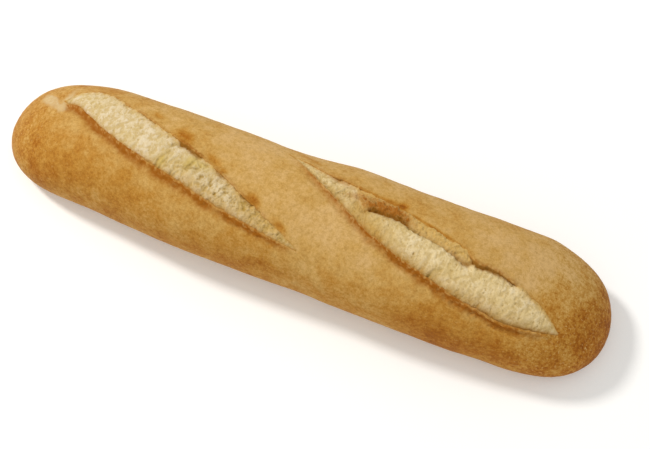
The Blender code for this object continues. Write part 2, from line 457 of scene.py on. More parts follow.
@dataclass(frozen=True)
class CrumbGrain:
    """Sizes of the crumb's fine relief: its heights and depths, then the lengths of its cells."""

    lean: float = math.radians(-27)
    sway: float = 1.3 * MM
    crack_depth: float = 0.42 * MM
    coarse_lumps: float = 0.20 * MM
    hollow_depth: float = 0.36 * MM
    pull_height: float = 0.3 * MM
    drawn_height: float = 0.2 * MM
    sway_size: float = 6 * MM
    ridge_size: float = 1.15 * MM
    broad_size: float = 9 * MM
    lump_size: float = 1.5 * MM
    fine_size: float = 0.7 * MM
    crack_size: float = 2.1 * MM
    clump_size: float = 2.3 * MM
    pull_size: float = 1.3 * MM
    pore_spacing: float = 1.9 * MM
    cave_spacing: float = 4.3 * MM


@dataclass(frozen=True, kw_only=True)
class Cut:
    """One opened cut in the back: crust lips on both sides and bare crumb between.

    Places across the loaf are arcs along its skin from the ridge, positive on the far side.
    """

    name: str
    seed: int
    start: float
    end: float
    start_arc: float
    end_arc: float
    belly: float
    bends: Rows = ()  # place, height and reach of its sideways bends
    near_bends: Rows = ()
    far_bends: Rows = ()
    half_width: float
    opens: float  # share of the length over which the cut widens
    opens_power: float
    closes: float  # share of the length after which it narrows
    closes_power: float
    crown: float  # height of the crumb's middle over the bare loaf
    near_drop: float  # how far the crumb falls from its crown to each lip
    far_drop: float
    near_ridge: float  # height of the near lip and depth of the groove outside it
    near_groove: float
    far_flap: float  # height of the lifted crust outside the far lip
    flap_reach: float = 4.5 * MM
    near_toast_and_shade: tuple[float, float]  # reach of the toasting and painted shade at the near lip, at start and end
    far_toast: float
    step: float  # where the swollen crumb starts, along X
    sunk: float  # level of the crumb before that step
    crevices: Rows  # places along X in millimetres and shares of the half width
    shelf_start: float  # where the shelf behind the crevice starts, along X
    shelf_level: float
    curls: tuple[Stretch, ...]  # where the near lip is curled up and toasted
    rims: tuple[Stretch, ...]  # where the near lip stands up as a clear rim
    lifts: tuple[Stretch, ...]  # where the far lip stands clear over the crumb
    nicks: tuple[Stretch, ...]  # where the far lip is nibbled
    covers: tuple[Stretch, ...]  # where the crumb runs over the far lip
    seams: tuple[Stretch, ...] = ()  # where the crumb parts from the shelf
    creases: tuple[Crease, ...]
    strands: tuple[Spot, ...] = ()  # where the crumb is drawn out into glossy strands
    coarse: tuple[Spot, ...]  # where it is rough and full of holes
    golden: tuple[Spot, ...]  # where it has coloured in the oven
    scorched: tuple[Spot, ...] = ()  # where torn crust lies on it
    roll_power: float = 2.5
    sunk_fall: float = 0.3
    step_length: float = 1.6 * MM
    least: float = 0.6 * MM  # half width that the columns keep in the closed ends
    spread: float = 26 * MM  # length over which they spread out beyond the cut
    ridge_reach: float = 0.45 * MM
    groove_place: float = 2.2 * MM
    groove_reach: float = 1.6 * MM
    brow: float = 0.25 * MM
    brow_reach: float = 0.9 * MM
    shelf_fade: float = 9 * MM
    shelf_lumps: float = 0.52 * MM
    shelf_rise: float = 0.15 * MM  # how high it ends at the far lip
    seam_depth: float = 1.0 * MM
    seam_reach: float = 1.3 * MM
    scorch_relief: float = 0.6 * MM
    edge_reach: float = 0.9 * MM
    full_width: float = 7 * MM  # half width from which the crumb swells fully
    parting: float = 3 * MM  # half width from which the lips count as parted
    overhang: float = 1.4 * MM  # how far a lifted far lip reaches over the crumb
    near_ragged: tuple[float, float] = (0.35 * MM, 0.34 * MM)  # height of waves and teeth
    far_ragged: tuple[float, float] = (0.5 * MM, 0.42 * MM)
    ridge_stray: float = 0.35 * MM
    flake_height: float = 0.16 * MM
    least_half: float = 0.4 * MM
    lift_gap: float = 0.3 * MM  # depth of the crumb under a lifted far lip
    rim_gap: float = 0.15 * MM  # and beside a clear rim of the near one
    closed_depth: float = 0.2 * MM
    full_crease: float = 0.7 * MM  # depth from which a crease has its full painted shade
    sizes: CrumbGrain = CrumbGrain()

    def share(self, x: Array) -> Array:
        """Give the share of the cut's length at x, from 0 to 1."""
        return unit((x - self.start) / (self.end - self.start))

    def centre(self, x: Array) -> Array:
        """Give the arc of the cut's middle line.

        Args:
            x: places along X.

        Returns:
            One arc for each place.
        """
        p = self.share(x)
        line = self.start_arc + (self.end_arc - self.start_arc) * p
        line = line + hills(self.bends, x)
        return line + self.belly * 4.0 * p * (1.0 - p)

    def half(self, x: Array) -> Array:
        """Give the cut's half width.

        Args:
            x: places along X.

        Returns:
            One length for each place.
        """
        p = self.share(x)
        widening = np.sin(np.minimum(p / self.opens, 1.0) * np.pi / 2) ** self.opens_power
        past = np.maximum((p - self.closes) / (1.0 - self.closes), 0.0)
        return self.half_width * widening * (1.0 - past**self.closes_power)

    def openness(self, x: Array) -> Array:
        """Give how fully the lips have parted, from 0 to 1."""
        return ease(self.half(x) / self.parting)

    def ragged(self, x: Array, layer: float, coarse: float, fine: float) -> Array:
        """Give how far a torn edge strays, from soft waves to small teeth.

        Args:
            x: places along X.
            layer: keeps the two lips apart.
            coarse: height of the waves.
            fine: height of the teeth.

        Returns:
            One distance for each place.
        """
        grain = Grain(self.seed)
        line = flat(x, 0.0, layer)
        waves = coarse * (grain.at(line, 11 * MM) + 0.6 * grain.at(line + 0.11, 4.3 * MM))
        teeth = fine * (grain.at(line + 0.23, 1.7 * MM) + 0.7 * grain.at(line + 0.31, 0.9 * MM))
        return (waves + teeth) * self.openness(x)

    def near_lip(self, x: Array) -> Array:
        """Give the arc of the torn near lip."""
        lip = self.centre(x) - self.half(x) + hills(self.near_bends, x)
        return lip + self.ragged(x, 1.0, *self.near_ragged)

    def far_lip(self, x: Array) -> Array:
        """Give the arc of the torn far lip."""
        lip = self.centre(x) + self.half(x) + hills(self.far_bends, x)
        return lip + self.ragged(x, 5.0, *self.far_ragged)

    @staticmethod
    def total(stretches: tuple[Stretch, ...], x: Array) -> Array:
        """Add up the strengths of some stretches at places along X."""
        return sum(s.at(x) for s in stretches) + np.zeros_like(x)

    def curl(self, x: Array) -> Array:
        """Give how strongly the near lip is toasted."""
        return self.total(self.curls, x)

    def rim(self, x: Array) -> Array:
        """Give how clearly the near lip stands up."""
        return self.total(self.rims, x)

    def lift(self, x: Array) -> Array:
        """Give how far the far lip stands clear."""
        bites = Grain(self.seed + 41).at(flat(x, 0.0), 1.9 * MM)
        return self.total(self.lifts, x) + self.total(self.nicks, x) * ease((bites - 0.05) / 0.3)

    def cover(self, x: Array) -> Array:
        """Give how far the crumb runs over the far lip."""
        return self.total(self.covers, x)

    def crevice(self, x: Array) -> Array:
        """Give the share of the half width at which the swollen crumb meets the shelf."""
        places, shares = zip(*self.crevices)
        return np.interp(x, [place * MM for place in places], shares)

    def crust_height(self, x: Array, arc: Array) -> Array:
        """Give the crust's height over the bare skin, outside the cut.

        Args:
            x: places along X.
            arc: arcs from the ridge.

        Returns:
            One height for each place.
        """
        grain = Grain(self.seed + 7)
        outside_near = np.maximum(self.near_lip(x) - arc, 0.0)
        outside_far = np.maximum(arc - self.far_lip(x), 0.0)
        rim, curl = 0.3 + 0.7 * self.rim(x), 0.25 + 0.75 * self.curl(x)
        uneven = 1.0 + 1.2 * grain.fractal(flat(x, arc), 1.7 * MM, 3, 0.7)
        stray = self.ridge_stray * (1.0 + 1.2 * grain.at(flat(x, 0.0, 1.7), 3 * MM))
        ridge = self.near_ridge * rim * uneven * hill(outside_near - stray, self.ridge_reach)
        pressed = hill(outside_near - self.groove_place, self.groove_reach)
        groove = self.near_groove * curl * uneven * pressed
        flakes = self.flake_height * curl * grain.fractal(flat(x, arc, 0.6), 1.2 * MM, 2, 0.7)
        groove = groove - flakes * hill(outside_near - 0.8 * MM, 1.4 * MM)
        raised = (0.5 + 0.9 * self.lift(x)) * (1.0 - 0.9 * self.cover(x))
        flap = self.far_flap * raised * np.exp(-outside_far / self.flap_reach)
        brow = self.brow * uneven * np.exp(-outside_far / self.brow_reach) * (1.0 - self.cover(x))
        far_side = ease((arc - self.centre(x)) / (2 * MM) + 0.5)
        return self.openness(x) * blend(ridge - groove, flap + brow, far_side)

    def crumb_height(self, x: Array, arc: Array) -> tuple[Array, dict[str, Array]]:
        """Give the crumb's height over the bare skin and what it looks like.

        Args:
            x: places along X.
            arc: arcs from the ridge.

        Returns:
            One height for each place, and named shares from 0 to 1 for the finish.
        """
        grain = Grain(self.seed + 3)
        near, far = self.near_lip(x), self.far_lip(x)
        half = np.maximum((far - near) / 2, self.least_half)
        across = (arc - (near + far) / 2) / half
        from_near, from_far = arc - near, far - arc
        inside_near, inside_far = np.maximum(from_near, 0.0), np.maximum(from_far, 0.0)
        opened, cover = self.openness(x), self.cover(x)

        behind = 0.25 * np.minimum(arc - self.centre(x), 0.0) - 0.4 * np.maximum(across, 0.0) * half
        swollen = ease((x - self.step + behind) / self.step_length)
        crevice = self.crevice(x) + 0.06 * grain.fractal(flat(x, 0.0, 0.8), 4 * MM, 3)
        crevice = np.minimum(crevice, 1.0)
        roll = (across + 1.0) / (crevice + 1.0) * 2.0 - 1.0
        fall = self.near_drop * unit(-roll) ** self.roll_power
        drop = blend(self.far_drop, 0.3 * self.far_drop, np.maximum(cover, 0.4 * self.lift(x)))
        fall = fall + drop * unit(roll) ** self.roll_power
        wide = unit(half / self.full_width)
        height = blend(self.sunk, self.crown * wide, swollen)
        height = height - wide * fall * (self.sunk_fall + (1.0 - self.sunk_fall) * swollen)

        room = ease((1.0 - crevice) / 0.15)
        on_shelf = ease((across - crevice) / 0.14 + 0.5) * room
        inner = (across - crevice) / np.maximum(1.0 - crevice, 0.02)
        lumps = grain.fractal(flat(x, arc, 0.2), 1.6 * MM, 3, 0.75)
        begun = ease((x - self.shelf_start) / self.shelf_fade)
        shelf = blend(self.sunk, self.shelf_level, begun)
        shelf = blend(shelf, self.shelf_rise, ease(inner) * begun) + self.shelf_lumps * lumps
        height = blend(height, shelf, on_shelf)
        parted = hill((across - crevice) * half - 0.5 * MM, self.seam_reach)
        seam = unit(self.total(self.seams, x) * parted * room * (1.0 + 0.5 * lumps))
        height = height - self.seam_depth * seam

        lifted = self.lift(x)
        clear = np.maximum(from_far - self.overhang * lifted, 0.0)
        height = height - self.lift_gap * lifted * hill(clear, self.overhang)
        gap = self.rim(x) * np.exp(-inside_near / (1.1 * MM))
        height = height - self.rim_gap * gap
        creased = np.max([c.at(x, arc, grain) for c in self.creases], axis=0)
        height = height - creased

        strands, coarse, golden, scorched = (
            unit(sum(s.at(x, arc) for s in spots) + np.zeros_like(x))
            for spots in (self.strands, self.coarse, self.golden, self.scorched)
        )
        texture, pits, low = self.crumb_texture(x, arc, strands, coarse)
        flakes = grain.fractal(flat(x, arc, 2.1), 1.5 * MM, 3, 0.8)
        height = height + self.scorch_relief * scorched * flakes
        calm = ease(np.minimum(from_near, from_far) / (0.8 * MM) + 0.35)
        height = height + texture * (0.5 + 0.5 * calm)

        edge_wave = grain.fractal(flat(x, arc * 0.4, 1.3), 1.7 * MM, 2, 0.7)
        spill_near = hill(inside_near, self.edge_reach) * (1.0 - 0.6 * self.curl(x))
        spill_far = hill(inside_far, self.edge_reach) * (0.25 + 0.75 * cover)
        spill_far = spill_far * (1.0 - unit(lifted * 1.5))
        rise = np.clip(0.25 + 0.9 * edge_wave, -0.3, 1.0) * 0.45 * MM
        height = height + rise * (spill_near + spill_far)

        outside_near, outside_far = np.maximum(-from_near, 0.0), np.maximum(-from_far, 0.0)
        hanging = 1.5 - 1.1 * unit(1.5 * edge_wave) * (1.0 - self.rim(x))
        height = height * opened - hanging * outside_near - blend(2.0, 0.8, cover) * outside_far
        height = height - self.closed_depth * (1.0 - opened)
        # painted shade: deep darkens the seam, the crumb under a far lip that stands clear and the
        # hollows of scorched flakes
        deep = seam + 0.9 * lifted * hill(clear, 0.9 * MM) * (1.0 + 0.5 * lumps)
        deep = deep + 0.9 * scorched * ease((-flakes - 0.14) / 0.25)
        reach = blend(self.near_toast_and_shade[0], self.near_toast_and_shade[1], self.share(x))
        reach = np.minimum(reach, 0.2 * MM + 0.4 * half)
        # toasting plus painted shade where the crumb rolls down into the near lip
        toast_and_shade = np.exp(-((inside_near / reach) ** 1.4)) * (1.0 + 0.5 * edge_wave)
        near_rim = hill(inside_near, self.edge_reach)
        far_edge = np.exp(-((inside_far / self.far_toast) ** 1.4))
        golden = golden + far_edge * (1.0 + 0.5 * edge_wave)
        golden = golden + blend(0.85, 1.0, ease(inner)) * on_shelf * (0.3 + 0.7 * begun)
        looks = {
            "pit": pits,
            "low": low,
            # the gap beside a clear near rim is darkened too: painted shade
            "deep": unit(deep + 0.7 * gap * (1.0 + 0.6 * edge_wave)),
            # painted shade in the creases
            "fold": unit(creased / self.full_crease),
            "strand": strands,
            "coarse": coarse,
            "golden": unit(golden),
            "scorched": unit(scorched * (1.05 + 1.5 * flakes)),
            "toast_and_shade": unit(toast_and_shade),
            "rim": unit(near_rim * (0.9 + 0.6 * edge_wave)),
        }
        return height, looks

    def crumb_texture(
        self, x: Array, arc: Array, strands: Array, coarse: Array
    ) -> tuple[Array, Array, Array]:
        """Give the crumb's fine relief: torn ridges across the cut, fine grain and a few pores.

        Args:
            x: places along X.
            arc: arcs from the ridge.
            strands: where the crumb is drawn out.
            coarse: where it is rough.

        Returns:
            One height for each place, how deep in a pore it lies, and how low between the
            ridges, the last two from 0 to 1 and used for painted shade.
        """
        grain, sizes = Grain(self.seed + 11), self.sizes
        cosine, sine = math.cos(sizes.lean), math.sin(sizes.lean)
        u, v = x * cosine + arc * sine, arc * cosine - x * sine
        bend = sizes.sway * grain.fractal(flat(x, arc, 0.5), sizes.sway_size, 2)
        ridges = grain.fractal(flat(u + bend, v / 2.2, 0.1), sizes.ridge_size, 2, 0.6)
        broad = grain.fractal(flat(x, arc, 0.7), sizes.broad_size, 2)
        lumps = grain.fractal(flat(x, arc, 0.9), sizes.lump_size, 3, 0.75)
        fine = grain.fractal(flat(u, v * 0.8, 1.7), sizes.fine_size, 2, 0.7)
        height = (0.28 * broad + 0.18 * ridges + 0.27 * lumps + 0.15 * fine) * MM

        cells = np.abs(grain.fractal(flat(u + bend, v / 1.6, 0.3), sizes.crack_size, 2, 0.5))
        cracks = 0.5 * np.exp(-((cells / 0.2) ** 2))
        clumps = grain.fractal(flat(u, v * 0.7, 2.6), sizes.clump_size, 3, 0.7)
        hollows = ease((0.02 - clumps) / 0.32) * coarse
        pull = grain.at(flat(u + bend * 0.6, v / 5.0, 0.3), sizes.pull_size)
        drawn = sizes.pull_height * pull + sizes.drawn_height * broad
        height = blend(height, drawn, strands * 0.8)
        height = height - sizes.crack_depth * cracks * coarse
        height = height + sizes.coarse_lumps * coarse * lumps
        height = height - sizes.hollow_depth * hollows

        small, small_id = grain.pores(u + bend * 0.5, v * 0.7, sizes.pore_spacing)
        big, big_id = grain.pores(u * 0.9 + 0.05, v * 0.55 + bend, sizes.cave_spacing)
        hole = (small_id > 0.60 - 0.25 * coarse) * ease(1.0 - small / (0.08 + 0.16 * small_id))
        cave = (big_id > 0.6 - 0.2 * coarse) * ease(1.0 - big / (0.03 + 0.12 * big_id))
        quiet = 1.0 - 0.9 * strands
        height = height - (0.22 * hole + 0.40 * cave) * MM * quiet
        # pores, cracks and hollows are darkened by this share: painted shade
        pits = (0.6 * hole + 0.9 * cave) * quiet + cracks * coarse + 0.7 * hollows
        pits = unit(pits)
        # the low places between the ridges are darkened by this share: painted shade
        low = unit(0.34 - 1.1 * ridges - 1.5 * lumps - 1.1 * fine)
        return height, pits, low


class MeshShape:
    """Makes a closed mesh from rings of points."""

    @staticmethod
    def closed(name: str, rings: Array, tips: Array) -> bpy.types.Mesh:
        """Join rings into a tube and close it at both ends with a fan.

        Args:
            name: the mesh's name.
            rings: points, by ring and then round the ring.
            tips: the two end points.

        Returns:
            The mesh.
        """
        rows, columns = rings.shape[:2]
        index = np.arange(rows * columns).reshape(rows, columns)
        turned = np.roll(index, -1, axis=1)
        quads = np.stack([index[:-1], index[1:], turned[1:], turned[:-1]], -1).reshape(-1, 4)
        first, last = rows * columns, rows * columns + 1
        start = np.stack([np.full(columns, first), index[0], turned[0]], -1)
        finish = np.stack([np.full(columns, last), turned[-1], index[-1]], -1)
        points = np.concatenate([rings.reshape(-1, 3), tips])
        mesh = bpy.data.meshes.new(name)
        mesh.from_pydata(points.tolist(), [], quads.tolist() + start.tolist() + finish.tolist())
        mesh.validate()
        mesh.shade_smooth()
        return mesh

    @staticmethod
    def store(mesh: bpy.types.Mesh, looks: dict[str, Array]) -> None:
        """Store named shares on the points.

        Args:
            mesh: the mesh that takes them.
            looks: one array for each name, by ring and then round the ring.
        """
        for name, values in looks.items():
            ends = [values[0].mean(), values[-1].mean()]
            stored = mesh.attributes.new(name, "FLOAT", "POINT")
            every = np.concatenate([values.ravel(), ends])
            stored.data.foreach_set("value", every.astype(np.float32))

    @staticmethod
    def place(name: str, data: bpy.types.ID) -> bpy.types.Object:
        """Put an object into the scene.

        Args:
            name: the object's name.
            data: its mesh, lamp or lens.

        Returns:
            The object.
        """
        made = bpy.data.objects.new(name, data)
        bpy.context.scene.collection.objects.link(made)
        return made


class Side(Enum):
    """Which lip of a cut a fold of crust belongs to, with the way to the inside of the cut."""

    NEAR = 1.0
    FAR = -1.0


@dataclass(frozen=True)
class LipFold:
    """The edge of the crust at a lip, from its top round its torn edge to the hidden wall.

    Attributes:
        thickness: of the crust.
        edge: how far the rounded edge stands out.
        most_overhang: how far a lip that stands clear reaches over the crumb.
        inward: shares of that reach, point by point round the edge.
        lowered: shares of the thickness below the lip's top, point by point.
    """

    thickness: float = 1.0 * MM
    edge: float = 0.28 * MM
    most_overhang: float = 1.3 * MM
    inward: tuple[float, ...] = (0.0, 0.55, 0.9, 1.0, 0.85, 0.45, 0.1)
    lowered: tuple[float, ...] = (0.0, 0.06, 0.28, 0.6, 0.95, 1.2, 1.5)

    def columns(self) -> int:
        """Give the number of points across the fold."""
        return len(self.inward)

    def offsets(self, overhang: Array) -> tuple[Array, Array]:
        """Give the fold's points.

        Args:
            overhang: how far the lip reaches over the crumb, one for each ring.

        Returns:
            How far each point lies towards the inside of the cut, and how far below the lip's top.
        """
        reach = self.edge + overhang
        inward = reach[:, None] * np.array(self.inward)[None, :]
        lowered = self.thickness * np.array(self.lowered)[None, :] * np.ones_like(reach)[:, None]
        return inward, lowered


@dataclass(frozen=True)
class CrustFinish:
    """Baked crust: pale gold to deep brown by how far it has baked, with fine grain; a few patches
    of painted shade and light ride on the bake, and painted shade darkens the cut's hidden walls
    and the far lips' walls.
    """

    stops: tuple[tuple[float, Colour], ...] = (
        (0.0, (0.66, 0.42, 0.165)),
        (0.25, (0.585, 0.345, 0.097)),
        (0.5, (0.50, 0.238, 0.038)),
        (0.75, (0.39, 0.138, 0.011)),
        (1.0, (0.27, 0.074, 0.004)),
    )
    flour: Colour = (0.60, 0.44, 0.225)
    # toasted band at the lips, also painted shade on the cut's hidden walls and trench floor
    char_and_shade: Colour = (0.315, 0.102, 0.006)
    # painted shade on the wall of a far lip that stands clear over the crumb
    lip_wall_shade: Colour = (0.27, 0.115, 0.013)
    torn: Colour = (0.55, 0.285, 0.085)
    speck: Colour = (0.61, 0.375, 0.13)
    shade: Colour = (0.06, 0.025, 0.004)
    mottle_scale: float = 130.0
    speckle_scale: float = 640.0
    dot_scale: float = 950.0
    fine_scale: float = 1700.0
    roughness: float = 0.58
    specular: float = 0.06
    bump: float = 0.6
    bump_height: float = 0.22 * MM

    def material(self) -> bpy.types.Material:
        """Build the crust's material.

        Returns:
            The material.
        """
        nodes = Nodes("crust")
        place = nodes.coordinates()
        patchy = nodes.attribute("patchy")
        mottle = nodes.noise(place, self.mottle_scale, 3.0, 0.6)
        speckle = nodes.noise(place, self.speckle_scale, 3.0, 0.6)
        fine = nodes.noise(place, self.fine_scale, 2.0, 0.5)
        # how far it has baked, with a few patches of painted shade and light
        bake_and_shading = nodes.attribute("bake_and_shading")
        for texture, calm, more in ((mottle, 0.65, 0.35), (speckle, 0.3, 0.6), (fine, 0.1, 0.4)):
            strength = nodes.scaled(patchy, more, calm)
            bake_and_shading = nodes.add(bake_and_shading, nodes.multiply(strength, nodes.scaled(texture, 1.0, -0.5)))
        colour = nodes.ramp(bake_and_shading, self.stops)
        for texture, strength in ((speckle, 0.55), (fine, 0.45)):
            shade = nodes.scaled(texture, strength, -0.42 * strength)
            colour = nodes.mixed(shade, colour, self.shade)
        dots = nodes.noise(place, self.dot_scale, 1.0, 0.5)
        dots = nodes.multiply(nodes.scaled(dots, 9.0, -5.6), nodes.scaled(patchy, 0.5, 0.08))
        colour = nodes.mixed(dots, colour, self.speck)
        for name, tint, factor, offset in (
            ("flour", self.flour, 2.0, -0.2),
            # toasted bands, plus painted shade on the cut's hidden walls and trench floor
            ("char_and_shade", self.char_and_shade, 1.1, 0.45),
            ("torn", self.torn, 0.0, 1.0),  # the same everywhere
            # painted shade on the wall of a far lip that stands clear
            ("lip_wall_shade", self.lip_wall_shade, 1.0, 0.4),
        ):
            share = nodes.multiply(nodes.attribute(name), nodes.scaled(speckle, factor, offset))
            colour = nodes.mixed(share, colour, tint)
        relief = nodes.add(nodes.scaled(speckle, 0.6, 0.0), nodes.scaled(fine, 0.4, 0.0))
        normal = nodes.bump(relief, self.bump, self.bump_height)
        rough = nodes.scaled(speckle, 0.16, self.roughness - 0.08)
        return nodes.finish(colour, rough, normal, self.specular)


@dataclass(frozen=True)
class CrumbFinish:
    """Bare crumb: pale cream with coloured edges, a little darker in rough places, and painted
    shade in its pores, creases, crevices and the low places between its ridges.
    """

    yellow: Colour
    cream: Colour
    pale: Colour
    # painted shade in the valleys between the ridges
    low: Colour = (0.53, 0.37, 0.135)
    # painted shade in pores, cracks and hollows
    pore: Colour = (0.37, 0.225, 0.04)
    # painted shade in creases
    fold: Colour = (0.35, 0.225, 0.05)
    # painted shade in crevices, gaps and hollows
    deep: Colour = (0.25, 0.098, 0.007)
    strand: Colour = (0.60, 0.435, 0.13)
    coarse: Colour = (0.57, 0.425, 0.165)
    golden: Colour = (0.59, 0.37, 0.110)
    scorched: Colour = (0.36, 0.130, 0.016)
    # toasting plus painted shade at the near lip
    toast_and_shade: Colour = (0.42, 0.225, 0.045)
    rim: Colour = (0.42, 0.19, 0.030)
    low_share: float = 0.7
    mottle_scale: float = 140.0
    grain_scale: float = 800.0
    fine_scale: float = 2400.0
    roughness: float = 0.85
    specular: float = 0.08
    bump: float = 0.85
    bump_height: float = 0.25 * MM

    def material(self) -> bpy.types.Material:
        """Build the crumb's material.

        Returns:
            The material.
        """
        nodes = Nodes("crumb")
        place = nodes.coordinates()
        mottle = nodes.noise(place, self.mottle_scale, 3.0, 0.6)
        grain = nodes.noise(place, self.grain_scale, 3.0, 0.6)
        fine = nodes.noise(place, self.fine_scale, 2.0, 0.5)
        tone = nodes.add(nodes.scaled(mottle, 1.9, -0.90), nodes.scaled(grain, 1.1, -0.47))
        tone = nodes.add(tone, nodes.scaled(fine, 0.6, 0.0))
        colour = nodes.ramp(tone, ((0.1, self.yellow), (0.5, self.cream), (0.9, self.pale)))
        soft = nodes.scaled(grain, 1.2, 0.3)
        for name, tint, most in (
            # painted shade in the valleys between the ridges
            ("low", self.low, self.low_share),
            ("coarse", self.coarse, 0.1),
            ("golden", self.golden, 1.0),
            ("strand", self.strand, 1.0),
            # toasting plus painted shade at the near lip
            ("toast_and_shade", self.toast_and_shade, 0.9),
            ("rim", self.rim, 0.9),
            # painted shade in pores, cracks and hollows
            ("pit", self.pore, 0.85),
            ("scorched", self.scorched, 1.15),
            # painted shade in creases
            ("fold", self.fold, 0.75),
        ):
            share = nodes.multiply(nodes.attribute(name), nodes.multiply(soft, most))
            colour = nodes.mixed(share, colour, tint)
        # painted shade in the crevices and gaps
        colour = nodes.mixed(nodes.attribute("deep"), colour, self.deep)
        relief = nodes.add(nodes.scaled(grain, 0.7, 0.0), nodes.scaled(fine, 0.4, 0.0))
        normal = nodes.bump(relief, self.bump, self.bump_height)
        rough = nodes.scaled(grain, 0.15, self.roughness - 0.08)
        return nodes.finish(colour, rough, normal, self.specular)


class Nodes:
    """Builds one node-based material step by step."""

    COLOUR_MIX = (0, 6, 7)  # a Mix node's inputs for its factor and two colours

    def __init__(self, name: str) -> None:
        """Start a new material.

        Args:
            name: the material's name.
        """
        self.made = bpy.data.materials.new(name)
        self.made.use_nodes = True
        self.tree = self.made.node_tree
        self.shader = self.tree.nodes["Principled BSDF"]

    def feed(self, value: object, socket: Socket) -> None:
        """Link a socket to another, or set a value on it.

        Args:
            value: a socket, a colour or a number.
            socket: what takes it.
        """
        if isinstance(value, Socket):
            self.tree.links.new(value, socket)
        elif isinstance(value, tuple):
            socket.default_value = (*value, 1.0)
        else:
            socket.default_value = value

    def dress(self, looks: dict[str, object]) -> None:
        """Set named inputs of the shader, each to a value or a socket."""
        for name, value in looks.items():
            self.feed(value, self.shader.inputs[name])

    def node(self, kind: str, **inputs: object) -> bpy.types.Node:
        """Add a node.

        Args:
            kind: its type, without the words that every shader node's type starts with.
            inputs: a value or a socket for each input that is named.

        Returns:
            The node.
        """
        made = self.tree.nodes.new("ShaderNode" + kind)
        for name, value in inputs.items():
            self.feed(value, made.inputs[name])
        return made

    def coordinates(self) -> Socket:
        """Give the object's own coordinates, in metres."""
        return self.node("TexCoord").outputs["Object"]

    def attribute(self, name: str) -> Socket:
        """Give a share stored on the mesh.

        Args:
            name: the share's name.

        Returns:
            Its socket.
        """
        node = self.node("Attribute")
        node.attribute_name = name
        return node.outputs["Fac"]

    def noise(self, place: Socket, scale: float, detail: float, rough: float) -> Socket:
        """Give noise from 0 to 1.

        Args:
            place: the coordinates.
            scale: cells a metre.
            detail: octaves.
            rough: strength of the finer octaves.

        Returns:
            The noise's socket.
        """
        node = self.node("TexNoise", Vector=place, Scale=scale, Detail=detail, Roughness=rough)
        return node.outputs["Fac"]

    def math(self, kind: str, *values: object) -> Socket:
        """Give the result of one Math node.

        Args:
            kind: the node's operation.
            values: a number or a socket for each input.

        Returns:
            The result's socket.
        """
        node = self.node("Math")
        node.operation = kind
        for value, socket in zip(values, node.inputs):
            self.feed(value, socket)
        return node.outputs[0]

    def add(self, first: object, second: object) -> Socket:
        """Add two values."""
        return self.math("ADD", first, second)

    def multiply(self, first: object, second: object) -> Socket:
        """Multiply two values."""
        return self.math("MULTIPLY", first, second)

    def scaled(self, value: object, factor: float, offset: float) -> Socket:
        """Multiply a value and add to it."""
        return self.math("MULTIPLY_ADD", value, factor, offset)

    def ramp(self, value: object, stops: tuple[tuple[float, Colour], ...]) -> Socket:
        """Turn a value into a colour.

        Args:
            value: from 0 to 1.
            stops: places and colours.

        Returns:
            The colour's socket.
        """
        node = self.node("ValToRGB", Fac=value)
        elements = node.color_ramp.elements
        while len(elements) < len(stops):
            elements.new(0.5)
        for element, (place, colour) in zip(elements, stops):
            element.position = place
            element.color = (*colour, 1.0)
        return node.outputs["Color"]

    def mixed(self, share: object, first: object, second: object) -> Socket:
        """Mix two colours by a share of the second.

        Args:
            share: from 0 to 1.
            first: a colour.
            second: a colour.

        Returns:
            The mixed colour's socket.
        """
        node = self.node("Mix")
        node.data_type = "RGBA"
        node.clamp_factor = True
        for value, socket in zip((share, first, second), self.COLOUR_MIX):
            self.feed(value, node.inputs[socket])
        return node.outputs[2]

    def bump(self, height: object, strength: float, distance: float) -> Socket:
        """Give a normal from a height.

        Args:
            height: from 0 to 1.
            strength: of the bump.
            distance: what a height of 1 stands for.

        Returns:
            The normal's socket.
        """
        node = self.node("Bump", Strength=strength, Distance=distance, Height=height)
        return node.outputs["Normal"]

    def finish(
        self, colour: object, roughness: object, normal: object, specular: float
    ) -> bpy.types.Material:
        """Link the shader.

        Args:
            colour: base colour.
            roughness: value or socket.
            normal: the bumped normal.
            specular: level set on the shader itself.

        Returns:
            The finished material.
        """
        self.dress(
            {
                "Base Color": colour,
                "Roughness": roughness,
                "Normal": normal,
                "Specular IOR Level": specular,
            }
        )
        return self.made


